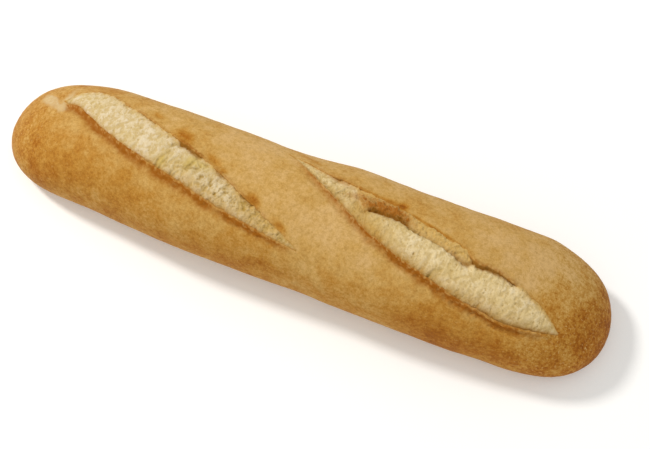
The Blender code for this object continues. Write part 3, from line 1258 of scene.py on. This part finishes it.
@dataclass
class Crust:
    """The browned outside of the loaf, with a trench under each opened cut."""

    form: Form
    cuts: tuple[Cut, Cut]
    finish: CrustFinish = CrustFinish()
    fold: LipFold = LipFold()
    rings: int = 536
    bottom_columns: int = 6
    side_columns: int = 22
    near_slope_columns: int = 30
    between_columns: int = 38
    far_slope_columns: int = 24
    floor_columns: int = 4
    fold_pitch: float = 0.02 * MM
    back_half_arc: float = 30 * MM
    back_share: float = 0.68
    trench: float = 4.2 * MM
    dent_reach: float = 5 * MM  # spots shorter than this are dented too
    dent_depth: float = 0.7 * MM
    ground_fade: float = 3 * MM
    dense_from: float = -122 * MM  # where the rings lie closer together along X
    dense_to: float = 124 * MM
    dense_fade: float = 6 * MM
    bake_and_shading: float = 0.275  # how far the back has baked, from 0 to 1
    side_bake: float = 0.19  # how much further the sides have
    side_from: float = 16 * MM
    side_fade: float = 30 * MM
    # share of char colour painted as shade on the underside of each lip fold
    wall_shade: float = 0.6
    lip_margin: float = 0.5 * MM  # how far past a lip its colour may start
    lump_height: float = 0.32 * MM
    small_lumps: float = 0.12 * MM
    wrinkle_height: float = 0.16 * MM
    grain_height: float = 0.05 * MM
    patchy_right: tuple[float, float] = (92 * MM, 30 * MM)  # place and length of the fade
    patchy_left: tuple[float, float] = (100 * MM, 25 * MM)
    spots: tuple[Spot, ...] = Spot.rows(
        # broad patches, then the scorched places along the cuts; the broad patch at x 138 mm
        # darkens the right end as painted shade, and the one at x 104 mm, arc 14 mm lightens the
        # far slope as painted light
        (-128, -4, 22, 40, 0.11), (-138, 0, 10, 60, 0.11), (-122, -14, 14, 16, 0.17),
        (-104, -26, 18, 14, 0.24), (-80, -20, 20, 12, 0.16), (-9, -31, 16, 10, 0.07),
        (96, -32, 14, 10, 0.07), (-70, -40, 24, 14, 0.08), (-20, -42, 24, 14, 0.14),
        (75, -40, 24, 14, 0.32), (120, -32, 20, 16, 0.07), (124, 0, 20, 60, 0.22),
        (105, -2, 9, 5, -0.15), (138, 0, 12, 60, 0.40), (104, 14, 22, 14, -0.36),
        (30, -42, 24, 14, -0.05), (30, 28, 24, 12, -0.12), (75, 20, 22, 14, -0.04),
        (18, -22, 22, 12, -0.04), (92, 26, 22, 16, 0.08), (128, 8, 12, 14, -0.08),
        (-75, 30, 30, 12, -0.02), (-25, 18, 24, 10, -0.18), (8, -6, 34, 15, -0.12, -0.27),
        (-96, 21.0, 14, 4.5, 0.24), (-68.9, 12.6, 3.0, 1.6, 0.25, -0.27),
        (-52.6, 6.2, 5.0, 3.2, 0.55, -0.35), (-36.1, 0.1, 3.6, 2.2, 0.5, -0.2),
        (-30.4, -3.0, 1.8, 1.3, 0.35), (-14.2, -9.9, 3.4, 2.4, 0.4, -0.4),
        (0.6, -17.0, 3.2, 2.0, 0.4, -0.4), (43.9, 10.4, 2.0, 1.5, 0.6),
        (59, 4.9, 14, 0.8, 0.45, -0.26), (35, 9.6, 9, 2.6, 0.4), (24, 11.0, 5, 1.6, 0.25),
        (0, 20.8, 9, 1.6, 0.25, -0.45), (-4.0, 22.5, 9, 3.0, 0.15, -0.4),
    )
    smears: tuple[Spot, ...] = Spot.rows(
        (-120.3, 5.8, 5.5, 2.6, 1.0, -0.45), (-126, 8.6, 4, 2.2, 0.7, -0.45),
        (-113.8, 3.0, 3.0, 1.6, 0.7), (-113.5, 10.0, 2.4, 7.0, 0.45),
    )

    def stations(self) -> Array:
        """Place the rings: close together along the cuts, wider in the rounded ends.

        Returns:
            Places along X.
        """
        turn = np.linspace(0.0, np.pi, 8001)
        x = -np.cos(turn) * self.form.length / 2
        half = self.form.half_width * rounding(x / (self.form.length / 2), self.form.plan_power)
        begun, left = (x - self.dense_from) / self.dense_fade, (self.dense_to - x) / self.dense_fade
        density = 1.0 + ease(begun) * ease(left)
        steps = np.hypot(np.diff(x), np.diff(half)) * (density[1:] + density[:-1]) / 2
        walked = np.concatenate([[0.0], np.cumsum(steps)])
        return np.interp(np.linspace(0.0, walked[-1], self.rings + 1), walked, x)

    @staticmethod
    def even(start: Array, end: Array, count: int) -> Array:
        """Give evenly spaced arcs from the start, without the end, for each ring."""
        return start[:, None] + (end - start)[:, None] * (np.arange(count) / count)[None, :]

    @staticmethod
    def band(start: Array, end: Array, count: int, rounded: float = 0.55) -> Array:
        """Give arcs from the start to the end for each ring, closer together at the two edges.

        Args:
            start: first arc.
            end: last arc.
            count: how many, both ends included.
            rounded: how much closer the outer ones lie.

        Returns:
            Arcs by ring and then across.
        """
        share = np.linspace(0.0, 1.0, count)
        share = blend(share, (1.0 - np.cos(np.pi * share)) / 2, rounded)
        return start[:, None] + (end - start)[:, None] * share[None, :]

    def guides(self, cut: Cut, x: Array, low: Array, high: Array) -> tuple[Array, Array, Array]:
        """Give the arcs that the columns follow at a cut.

        Args:
            cut: the cut.
            x: places of the rings.
            low: arc that the columns keep above where the cut has ended.
            high: arc that they keep below there.

        Returns:
            The near and the far lip, and the spacing of the fold's points.
        """
        past = np.maximum(cut.start - x, x - cut.end)
        beyond = ease(past / cut.spread)
        near, far = cut.near_lip(x), cut.far_lip(x)
        centre = blend((near + far) / 2, (low + high) / 2, beyond)
        half = blend(np.maximum((far - near) / 2, cut.least), (high - low) / 6, beyond)
        pitch = blend(self.fold_pitch, half / 12, beyond)
        return centre - half, centre + half, pitch

    def columns(self, x: Array, skin: Skin) -> tuple[Array, list[tuple[Cut, Side, int]], list[int]]:
        """Lay out the columns of every ring.

        Args:
            x: places of the rings.
            skin: the bare rings.

        Returns:
            Arcs by ring and column, the first column of each lip's fold, and the trench columns.
        """
        first, second = self.cuts
        edge = np.full_like(x, self.back_half_arc)
        a, b, pitch_one = self.guides(first, x, -edge, second.near_lip(x))
        c, d, pitch_two = self.guides(second, x, first.far_lip(x), edge)
        folded = self.fold.columns()
        steps = np.arange(folded)[None, :]
        parts = [self.band(-edge, a, self.near_slope_columns)[:, :-1]]
        folds: list[tuple[Cut, Side, int]] = []
        floors: list[int] = []

        def laid() -> int:
            """Count the columns laid so far."""
            return sum(part.shape[1] for part in parts)

        for cut, near, far, pitch, after, count in (
            (first, a, b, pitch_one, c, self.between_columns),
            (second, c, d, pitch_two, edge, self.far_slope_columns),
        ):
            folds.append((cut, Side.NEAR, laid()))
            parts.append(near[:, None] + steps * pitch[:, None])
            start, end = near + folded * pitch, far - folded * pitch
            floors += range(laid(), laid() + self.floor_columns)
            parts.append(self.band(start, end, self.floor_columns))
            folds.append((cut, Side.FAR, laid()))
            parts.append(far[:, None] - steps[:, ::-1] * pitch[:, None])
            parts.append(self.band(far, after, count)[:, 1:-1])
        back = np.concatenate(parts, axis=1)
        bottom_near, edge_near, edge_far, bottom_far = skin.edges()
        near_back = np.maximum(-self.back_half_arc, self.back_share * edge_near)
        far_back = np.minimum(self.back_half_arc, self.back_share * edge_far)
        reach = np.where(back < 0, -near_back[:, None], far_back[:, None])
        back = back * reach / self.back_half_arc
        before = [
            self.even(bottom_near, edge_near, self.bottom_columns),
            self.even(edge_near, near_back, self.side_columns),
        ]
        offset = sum(p.shape[1] for p in before)
        folds = [(cut, side, column + offset) for cut, side, column in folds]
        floors = [column + offset for column in floors]
        after_back = [
            self.even(far_back, edge_far, self.side_columns),
            self.even(edge_far, bottom_far, self.bottom_columns),
        ]
        return np.concatenate([*before, back, *after_back], axis=1), folds, floors

    def skin_relief(self, points: Array, x: Array, arc: Array) -> Array:
        """Give the crust's own small relief: soft lumps, wrinkles and a blistered grain.

        Args:
            points: places in space.
            x: places along X.
            arc: arcs from the ridge.

        Returns:
            One height for each place.
        """
        lumps = self.lump_height * Grain(21).at(points, 24 * MM)
        lumps = lumps + self.small_lumps * Grain(22).at(points, 8 * MM)
        drawn = points * np.array([0.45, 1.0, 1.0])
        wrinkles = 1.0 - np.abs(Grain(23).fractal(drawn, 3.2 * MM, 2))
        where = 0.25 + hill(x - 50 * MM, 26 * MM) * hill(arc + 20 * MM, 9 * MM)
        wrinkles = self.wrinkle_height * wrinkles**6 * where
        ends = ease((x - 96 * MM) / (22 * MM)) + 0.5 * ease((-x - 108 * MM) / (20 * MM))
        grain = self.grain_height * (0.5 + ends) * Grain(24).fractal(points, 1.5 * MM, 2)
        return lumps + wrinkles + grain

    def looks(self, points: Array, x: Array, arc: Array) -> dict[str, Array]:
        """Give how far the crust has baked, with a few patches of painted shade and light, and
        where it is floured, charred or torn.

        Args:
            points: places in space.
            x: places along X.
            arc: arcs from the ridge.

        Returns:
            Named shares from 0 to 1.
        """
        side = ease((np.abs(arc) - self.side_from) / self.side_fade)
        # some spots darken or lighten as painted shade and painted light
        bake_and_shading = self.bake_and_shading + self.side_bake * side + sum(spot.at(x, arc) for spot in self.spots)
        bake_and_shading = bake_and_shading + 0.10 * Grain(31).fractal(points, 16 * MM, 3)
        bake_and_shading = bake_and_shading + 0.05 * Grain(32).fractal(points, 3.0 * MM, 2)
        char_and_shade, torn = np.zeros_like(x), np.zeros_like(x)
        for cut in self.cuts:
            grain = Grain(cut.seed + 17)
            out = cut.near_lip(x) - arc
            reach = (4.8 + 1.4 * grain.at(flat(x, arc, 0.4), 5 * MM)) * MM
            band = ease((out + 0.3 * MM) / (0.6 * MM)) * ease(1.0 - out / reach) ** 0.8
            uneven = 0.8 + 0.3 * grain.fractal(flat(x * 0.5, arc, 0.1), 2.4 * MM, 2)
            uneven = uneven + 0.35 * hill(np.maximum(out, 0.0), 1.2 * MM)
            band = band * (1.0 - 0.6 * cut.rim(x) * hill(out - 0.3 * MM, 0.6 * MM))
            flecks = ease((grain.fractal(flat(x, arc, 0.9), 1.1 * MM, 2, 0.7) - 0.1) / 0.35)
            flecks = flecks * hill(np.maximum(out - 0.3 * MM, 0.0), 1.1 * MM)
            uneven = uneven * (1.0 - 0.7 * flecks)
            opened, at_near = cut.openness(x), out > -self.lip_margin
            torn = torn + 0.35 * flecks * cut.curl(x) * opened * at_near
            char_and_shade = char_and_shade + 1.5 * cut.curl(x) * band * uneven * opened * at_near
            beyond = arc - cut.far_lip(x)
            brow = ease(1.0 - beyond / (1.5 * MM)) * (beyond > -self.lip_margin)
            char_and_shade = char_and_shade + (0.15 + 0.45 * cut.lift(x)) * brow * uneven * opened
        dusted = Grain(35).fractal(flat(x, arc), 4.5 * MM, 3, 0.6)
        flour = sum(s.at(x, arc) for s in self.smears) * (1.0 + 1.2 * dusted)
        flour = ease((flour - 0.05) / 0.6)
        right = ease((x - self.patchy_right[0]) / self.patchy_right[1])
        left = ease((-x - self.patchy_left[0]) / self.patchy_left[1])
        patchy = 0.12 + 0.88 * right + 0.5 * left + 0.25 * side
        return {
            "patchy": unit(patchy),
            "bake_and_shading": unit(bake_and_shading),
            "char_and_shade": unit(char_and_shade),
            "flour": flour,
            "torn": unit(torn),
            "lip_wall_shade": np.zeros_like(x),
        }

    def build(self) -> bpy.types.Object:
        """Build the crust and give it its material.

        Returns:
            The crust.
        """
        x = self.stations()[1:-1]
        skin = Skin(self.form, x)
        arc, folds, floors = self.columns(x, skin)
        points, out, around = skin.lay(arc)
        along = np.repeat(x[:, None], arc.shape[1], axis=1)
        dents = sum(s.at(along, arc) for s in self.spots if s.reach_x < self.dent_reach)
        height = sum(cut.crust_height(along, arc) for cut in self.cuts)
        grounded = ease(points[:, :, 2] / self.ground_fade)
        relief = self.skin_relief(points, along, arc) - self.dent_depth * dents
        height = height + relief * grounded
        sideways = np.zeros_like(height)
        looks = self.looks(points, along, arc)
        for cut, side, column in folds:
            self.turn_lip(cut, side, column, x, height, sideways, looks)
        for number, column in enumerate(floors):
            cut = self.cuts[number // self.floor_columns]
            opened = cut.openness(x)
            height[:, column] = blend(height[:, column], -self.trench, opened)
            # the trench floor gets the full char colour as painted shade, where it shows between
            # crumb and lip
            looks["char_and_shade"][:, column] = opened
        points = points + out * height[:, :, None] + around * sideways[:, :, None]
        points[:, :, 2] = np.maximum(points[:, :, 2], 0.0)
        form, half = self.form, self.form.length / 2
        tips = np.array([[end, form.bow, form.tip_height] for end in (-half, half)])
        points[:, :, 1] -= form.middle()
        tips[:, 1] -= form.middle()
        mesh = MeshShape.closed("crust", points[:, ::-1], tips)
        MeshShape.store(mesh, {name: values[:, ::-1] for name, values in looks.items()})
        mesh.materials.append(self.finish.material())
        return MeshShape.place("crust", mesh)

    def turn_lip(
        self,
        cut: Cut,
        side: Side,
        column: int,
        x: Array,
        height: Array,
        sideways: Array,
        looks: dict[str, Array],
    ) -> None:
        """Fold the crust over at one lip.

        Args:
            cut: the cut.
            side: which of its lips.
            column: the fold's first column.
            x: places of the rings.
            height: heights to change, by ring and column.
            sideways: shifts round the loaf to change.
            looks: shares to change.
        """
        count = self.fold.columns()
        opened = cut.openness(x)[:, None]
        lift = cut.lift(x) if side is Side.FAR else 0.25 * cut.curl(x)
        inward, lowered = self.fold.offsets(self.fold.most_overhang * lift)
        where = slice(column, column + count)
        if side is Side.FAR:
            torn_wall = (self.fold.edge + self.fold.most_overhang * lift)[:, None]
            torn_wall = torn_wall * np.linspace(0.0, 1.0, count)[None, :]
            inward = blend(inward, torn_wall, unit(lift)[:, None])
            inward, lowered = inward[:, ::-1], lowered[:, ::-1]
            top = height[:, column + count - 1][:, None]
        else:
            top = height[:, column][:, None]
        height[:, where] = blend(height[:, where], top - lowered, opened)
        sideways[:, where] = sideways[:, where] + side.value * inward * opened
        edge = cut.rim(x)[:, None] if side is Side.NEAR else 0.4
        frayed = 0.8 + 1.3 * Grain(cut.seed + 29).fractal(flat(x, 0.0), 1.3 * MM, 3)
        torn = ease(lowered / (0.3 * MM)) * ease((1.1 * MM - lowered) / (0.4 * MM)) * opened
        torn = torn * frayed[:, None]
        looks["torn"][:, where] = unit(torn * (0.1 + 0.45 * edge))
        # the fold's underside inside the cut is darkened: painted shade under the lip
        under = ease((lowered - 0.9 * MM) / (0.4 * MM)) * opened
        looks["char_and_shade"][:, where] = blend(looks["char_and_shade"][:, where], self.wall_shade, under)
        if side is Side.FAR:
            # painted shade on the far lip's wall where it stands clear over the crumb
            wall = ease(lowered / (0.35 * MM)) * unit(1.3 * lift)[:, None] * opened
            looks["lip_wall_shade"][:, where] = wall
            looks["torn"][:, where] = looks["torn"][:, where] * (1.0 - wall)


@dataclass
class Crumb:
    """The bare crumb that fills one cut, tucked under both lips."""

    form: Form
    cut: Cut
    finish: bpy.types.Material
    ring_spacing: float = 0.28 * MM
    columns: int = 104
    under_columns: int = 8
    tuck: float = 1.2 * MM  # how far it reaches under each lip
    depth: float = 5.2 * MM  # of its underside below the bare loaf
    end_gap: float = 0.3 * MM
    least_thick: float = 0.4 * MM
    edge_squeeze: float = 0.35

    def build(self) -> bpy.types.Object:
        """Build the crumb and give it its material.

        Returns:
            The crumb.
        """
        cut = self.cut
        count = round((cut.end - cut.start) / self.ring_spacing)
        x = np.linspace(cut.start + self.end_gap, cut.end - self.end_gap, count)
        near, far = cut.near_lip(x), cut.far_lip(x)
        tuck = self.tuck * (0.2 + 0.8 * cut.openness(x))
        arc = Crust.band(near - tuck, far + tuck, self.columns, self.edge_squeeze)
        skin = Skin(self.form, x)
        points, out, _ = skin.lay(arc)
        along = np.repeat(x[:, None], self.columns, axis=1)
        height, looks = cut.crumb_height(along, arc)
        height = np.maximum(height, -self.depth + self.least_thick)
        top = points + out * height[:, :, None]

        under_arc = Crust.band(near - tuck, far + tuck, self.under_columns + 2, 0.0)[:, 1:-1]
        under, under_out, _ = skin.lay(under_arc)
        deepest = -self.depth * cut.openness(x) - 2 * self.least_thick
        low = np.minimum(height.min(axis=1) - self.least_thick, deepest)
        under = under + under_out * low[:, None, None]
        rings = np.concatenate([top, under[:, ::-1]], axis=1)
        rings[:, :, 1] -= self.form.middle()
        tips = np.stack([rings[0].mean(axis=0), rings[-1].mean(axis=0)])
        hidden = np.zeros((count, self.under_columns))
        mesh = MeshShape.closed(cut.name, rings[:, ::-1], tips)
        stored = {n: np.concatenate([v, hidden], axis=1)[:, ::-1] for n, v in looks.items()}
        MeshShape.store(mesh, stored)
        mesh.materials.append(self.finish)
        return MeshShape.place(cut.name, mesh)


@dataclass
class Studio:
    """The white table, the soft light from the far left and the high camera."""

    azimuth: float = 22.345
    elevation: float = 62.0
    distance: float = 540.0 * MM
    aim: tuple[float, float, float] = (12.6 * MM, 0.5 * MM, 20 * MM)
    lens: float = 70.0  # in millimetres, as the film's width is
    key_at: tuple[float, float, float] = (-1139 * MM, 174 * MM, 1200 * MM)
    key_power: float = 17.1  # in watts
    key_size: float = 290 * MM
    fill: float = 0.42
    fill_tilt: tuple[float, float, float] = (0.21, -0.16, 0.34)  # gain along X, Y and Z
    key_tint: Colour = (1.0, 0.985, 0.955)
    fill_tint: Colour = (1.0, 0.985, 0.96)
    glow: float = 0.15
    glow_tint: Colour = (0.93, 1.0, 1.0)
    table: Colour = (0.90, 0.89, 0.875)
    table_reach: float = 3.0
    table_roughness: float = 0.9
    film_width: float = 36.0
    nearest: float = 0.01  # what lies closer to the camera isn't drawn

    def floor(self) -> bpy.types.Object:
        """Lay the table.

        Returns:
            The table.
        """
        mesh = bpy.data.meshes.new("table")
        far = self.table_reach
        corners = [(-far, -far, 0), (far, -far, 0), (far, far, 0), (-far, far, 0)]
        mesh.from_pydata(corners, [], [(0, 1, 2, 3)])
        nodes = Nodes("table")
        nodes.dress(
            {
                "Base Color": self.table,
                "Roughness": self.table_roughness,
                "Specular IOR Level": 0.0,
                "Emission Color": self.glow_tint,
                "Emission Strength": self.glow,
            }
        )
        mesh.materials.append(nodes.made)
        return MeshShape.place("table", mesh)

    def light(self) -> None:
        """Set up the key light and the even surroundings."""
        world = bpy.data.worlds.new("surroundings")
        bpy.context.scene.world = world
        world.use_nodes = True
        tree = world.node_tree
        background = tree.nodes["Background"]
        background.inputs["Color"].default_value = (*self.fill_tint, 1.0)
        place, tilt, level = (
            tree.nodes.new("ShaderNode" + kind) for kind in ("TexCoord", "VectorMath", "Math")
        )
        tilt.operation, level.operation = "DOT_PRODUCT", "ADD"
        tilt.inputs[1].default_value = self.fill_tilt
        level.inputs[1].default_value = self.fill
        tree.links.new(place.outputs["Generated"], tilt.inputs[0])
        tree.links.new(tilt.outputs["Value"], level.inputs[0])
        tree.links.new(level.outputs[0], background.inputs["Strength"])
        key = bpy.data.lights.new("key", "AREA")
        key.shape = "DISK"
        key.size = self.key_size
        key.energy = self.key_power
        key.color = self.key_tint
        made = MeshShape.place("key", key)
        made.location = Vector(self.key_at)
        made.rotation_euler = Vector(self.key_at).to_track_quat("Z", "Y").to_euler()

    def camera(self) -> None:
        """Place the camera at the photograph's angle."""
        turn, rise = math.radians(self.azimuth), math.radians(self.elevation)
        level = math.cos(rise)
        back = Vector((math.sin(turn) * level, -math.cos(turn) * level, math.sin(rise)))
        lens = bpy.data.cameras.new("camera")
        lens.lens = self.lens
        lens.sensor_width = self.film_width
        lens.clip_start = self.nearest
        made = MeshShape.place("camera", lens)
        made.location = Vector(self.aim) + back * self.distance
        made.rotation_euler = back.to_track_quat("Z", "Y").to_euler()
        bpy.context.scene.camera = made

    def build(self) -> None:
        """Set up everything that isn't part of the loaf."""
        self.floor()
        self.light()
        self.camera()
        bpy.context.scene.view_settings.view_transform = "Standard"


LEFT_CUT = Cut(
    name="crumb_left",
    seed=101,
    **lengths(
        start=-115, end=12, start_arc=12.2, end_arc=-24.5, belly=1.0, half_width=9.1,
        crown=0.5, near_drop=1.1, far_drop=0.7, near_ridge=0.3, near_groove=0.5, far_flap=0.4,
        far_toast=1.9, step=-160, sunk=0.0, shelf_start=60, shelf_level=0.0,
    ),
    bends=in_mm((-98, 1.3, 10), (-115, -5.0, 6)),
    opens=0.20,
    opens_power=0.9,
    closes=0.10,
    closes_power=2.8,
    near_toast_and_shade=(1.3 * MM, 2.6 * MM),
    crevices=((0, 1.0), (1, 1.0)),
    curls=Stretch.rows(
        (-113, 9, 0.35, 4), (-112, -64, 0.85, 4), (-60, -46, 0.65, 5), (-44, -30, 0.7, 5),
        (-25, -6, 0.75, 5), (-4, 7, 0.3, 4),
    ),
    rims=Stretch.rows((-112, -100, 0.3), (-44, -2, 0.35)),
    lifts=Stretch.rows((-54, -42, 1.0, 3), (-34, -28, 0.5), (-20, -13, 0.6)),
    nicks=Stretch.rows((-108, -56, 0.35), (-42, 2, 0.3)),
    covers=Stretch.rows((-112, -58, 0.5, 8)),
    creases=Crease.rows(
        (((-58.9, -11.6), (-58.9, -8.4), (-57.4, -5.4), (-55.2, -3.1)), 0.75, 0.45),
        (((-57.0, -11.2), (-56.6, -8.6), (-55.0, -6.4)), 0.55, 0.35),
        (((-57.6, -1.8), (-54.4, 1.2), (-51.5, 2.2)), 0.8, 0.7),
        (((-51.6, -13.1), (-51.2, -10.8), (-49.1, -8.1), (-46.1, -7.5)), 0.7, 0.4),
        (((-50.0, -12.6), (-49.4, -10.6), (-47.6, -9.2)), 0.5, 0.35),
        (((-46.1, -7.5), (-44.7, -5.6), (-43.1, -2.0)), 0.7, 0.45),
        (((-46.0, -7.7), (-40.8, -6.0)), 0.6, 0.4),
        (((-44.3, -2.4), (-40.7, -3.0), (-36.2, -3.8)), 0.6, 0.35),
        (((-43.6, -1.6), (-39.8, -5.2)), 0.5, 0.35),
        (((-74, 7.6), (-68, 8.6), (-63, 7.4), (-58.5, 4.4)), 0.5, 0.35),
        (((-113.6, 3.6), (-112.6, 9.6)), 0.5, 0.4, 0.2),
        (((-111.6, 4.0), (-110.6, 10.4)), 0.5, 0.4, 0.2),
    ),
    strands=Spot.rows(
        (-57.4, -8.2, 2.0, 4.4, 0.95, 0.6), (-45.5, -5, 2.8, 3.6, 0.95, 0.6),
        (-40.0, -4.2, 4.5, 1.9, 0.85, -0.2),
    ),
    coarse=Spot.rows(
        (-35, -10.0, 8, 5.0, 1.0, -0.3), (-26, -12.8, 8, 4.2, 1.0, -0.3),
        (-14, -15.8, 8, 4.0, 1.0, -0.45), (2, -20.8, 9, 2.4, 0.8, -0.4),
        (-50, -8, 9, 5, 0.6, -0.3),
    ),
    golden=Spot.rows(
        (-58, -8, 1.8, 4.0, 0.5, 0.4), (-43, -11.5, 7, 2.4, 0.5, -0.3),
        (-28, -15.4, 8, 2.0, 0.4, -0.4), (-14, -17.0, 8, 4.5, 0.6, -0.45),
        (-4, -20.0, 6, 4.0, 0.5, -0.4),
    ),
)

RIGHT_CUT = Cut(
    name="crumb_right",
    seed=202,
    **lengths(
        start=-11, end=121, start_arc=19.5, end_arc=-15.5, belly=-6.3, half_width=9.5,
        crown=1.9, near_drop=2.4, far_drop=2.8, near_ridge=0.75, near_groove=0.6, far_flap=0.6,
        far_toast=1.3, step=30, sunk=-0.5, shelf_start=22, shelf_level=-0.2,
    ),
    near_bends=in_mm((90, -0.8, 22)),
    far_bends=in_mm((80.5, -2.7, 4.5), (88, -0.7, 5)),
    opens=0.50,
    opens_power=1.2,
    closes=0.75,
    closes_power=1.6,
    near_toast_and_shade=(1.8 * MM, 4.6 * MM),
    crevices=(
        (22, 1.0), (26, 0.35), (30, -0.15), (34.4, 0.12), (38.2, 0.29), (44.7, 0.46), (52, 0.37),
        (60, 0.47), (68, 0.46), (72, 0.42), (75, 0.37), (77.5, 0.60), (79.5, 1.0),
    ),
    sunk_fall=0.1,
    curls=Stretch.rows((-8, 28, 0.5, 5), (26, 48, 0.65, 6), (47, 104, 1.0, 6), (103, 114, 0.45)),
    rims=Stretch.rows((82, 110, 0.9, 6), (108, 119, 0.35)),
    lifts=Stretch.rows((78, 91, 1.0, 4), (91, 97, 0.6)),
    nicks=Stretch.rows((12, 30, 0.4), (97, 108, 0.25)),
    covers=Stretch.rows((-12, 24, 0.5, 4), (28, 76, 1.0, 6), (98, 124, 0.9, 4)),
    seams=Stretch.rows((31, 49, 1.0, 3), (49, 69, 0.22, 3), (69, 79, 0.6, 3)),
    creases=Crease.rows(
        (((63.0, -16.4), (64.2, -14.6), (65.5, -12.4), (67.6, -11.2)), 0.8, 0.6, 0.2),
        (((35, 3.2), (32.4, 2.4), (31.4, 0.4), (32.2, -3.0)), 0.8, 0.6),
        (((49.6, 1.0), (52, 0.0), (54.6, -0.6)), 1.2, 0.6),
        (((59.5, -0.9), (62.4, -1.2)), 0.6, 0.5),
        (((71, -1.8), (73, -1.1)), 0.6, 0.4),
        (((76, -1.1), (79, -1.9)), 0.7, 0.4),
        (((53.6, 5.4), (58, 5.0), (63.5, 3.2), (67, 2.4)), 0.4, 0.5),
        (((16.5, 4.8), (19.3, 9.8)), 0.5, 0.5),
        (((70.5, 0.6), (73, -0.5), (76.5, -0.6)), 0.45, 0.45),
    ),
    coarse=Spot.rows(
        (14, 8.0, 9, 4.5, 0.85, -0.5), (27, 2.5, 6, 4, 0.8, -0.5), (37, -2, 8, 5, 0.35, -0.4),
        (47, -6, 7, 5, 0.3, -0.4),
    ),
    golden=Spot.rows(
        (20, 6.0, 9, 5, 0.15, -0.5), (28, 2.0, 4.0, 6, 0.6, -0.5),
        (38, -3.5, 9, 5.0, 0.5, -0.5), (37, -6.0, 5, 2.0, 0.8, -0.6),
    ),
    scorched=Spot.rows(
        (36.5, 5.6, 7.0, 3.2, 1.2, 0.0), (45.5, 5.2, 4.5, 2.2, 0.8, -0.3),
        (26, 7.6, 5, 1.5, 0.6, 0.1), (15, 12.8, 8, 1.5, 0.36, -0.25),
    ),
)


def main() -> None:
    """Build the dressed loaf and its setting, and report each piece."""
    logging.basicConfig(level=logging.INFO, format="%(name)s: %(message)s")
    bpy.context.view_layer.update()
    form = Form()
    crust = Crust(form, (LEFT_CUT, RIGHT_CUT)).build()
    whiter = CrumbFinish(
        (0.65, 0.51, 0.27), (0.70, 0.57, 0.36), (0.745, 0.63, 0.44), low_share=0.8
    )
    yellower = CrumbFinish((0.69, 0.52, 0.24), (0.765, 0.60, 0.325), (0.815, 0.675, 0.425))
    pieces = [crust] + [
        Crumb(form, cut, finish.material()).build()
        for cut, finish in ((LEFT_CUT, whiter), (RIGHT_CUT, yellower))
    ]
    for piece in pieces:
        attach(piece, "root")
        piece.data.calc_loop_triangles()
        log.info("%s: %d triangles", piece.name, len(piece.data.loop_triangles))
    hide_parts("loaf")
    Studio().build()
    log.info("sizes written")


if __name__ == "__main__":
    main()
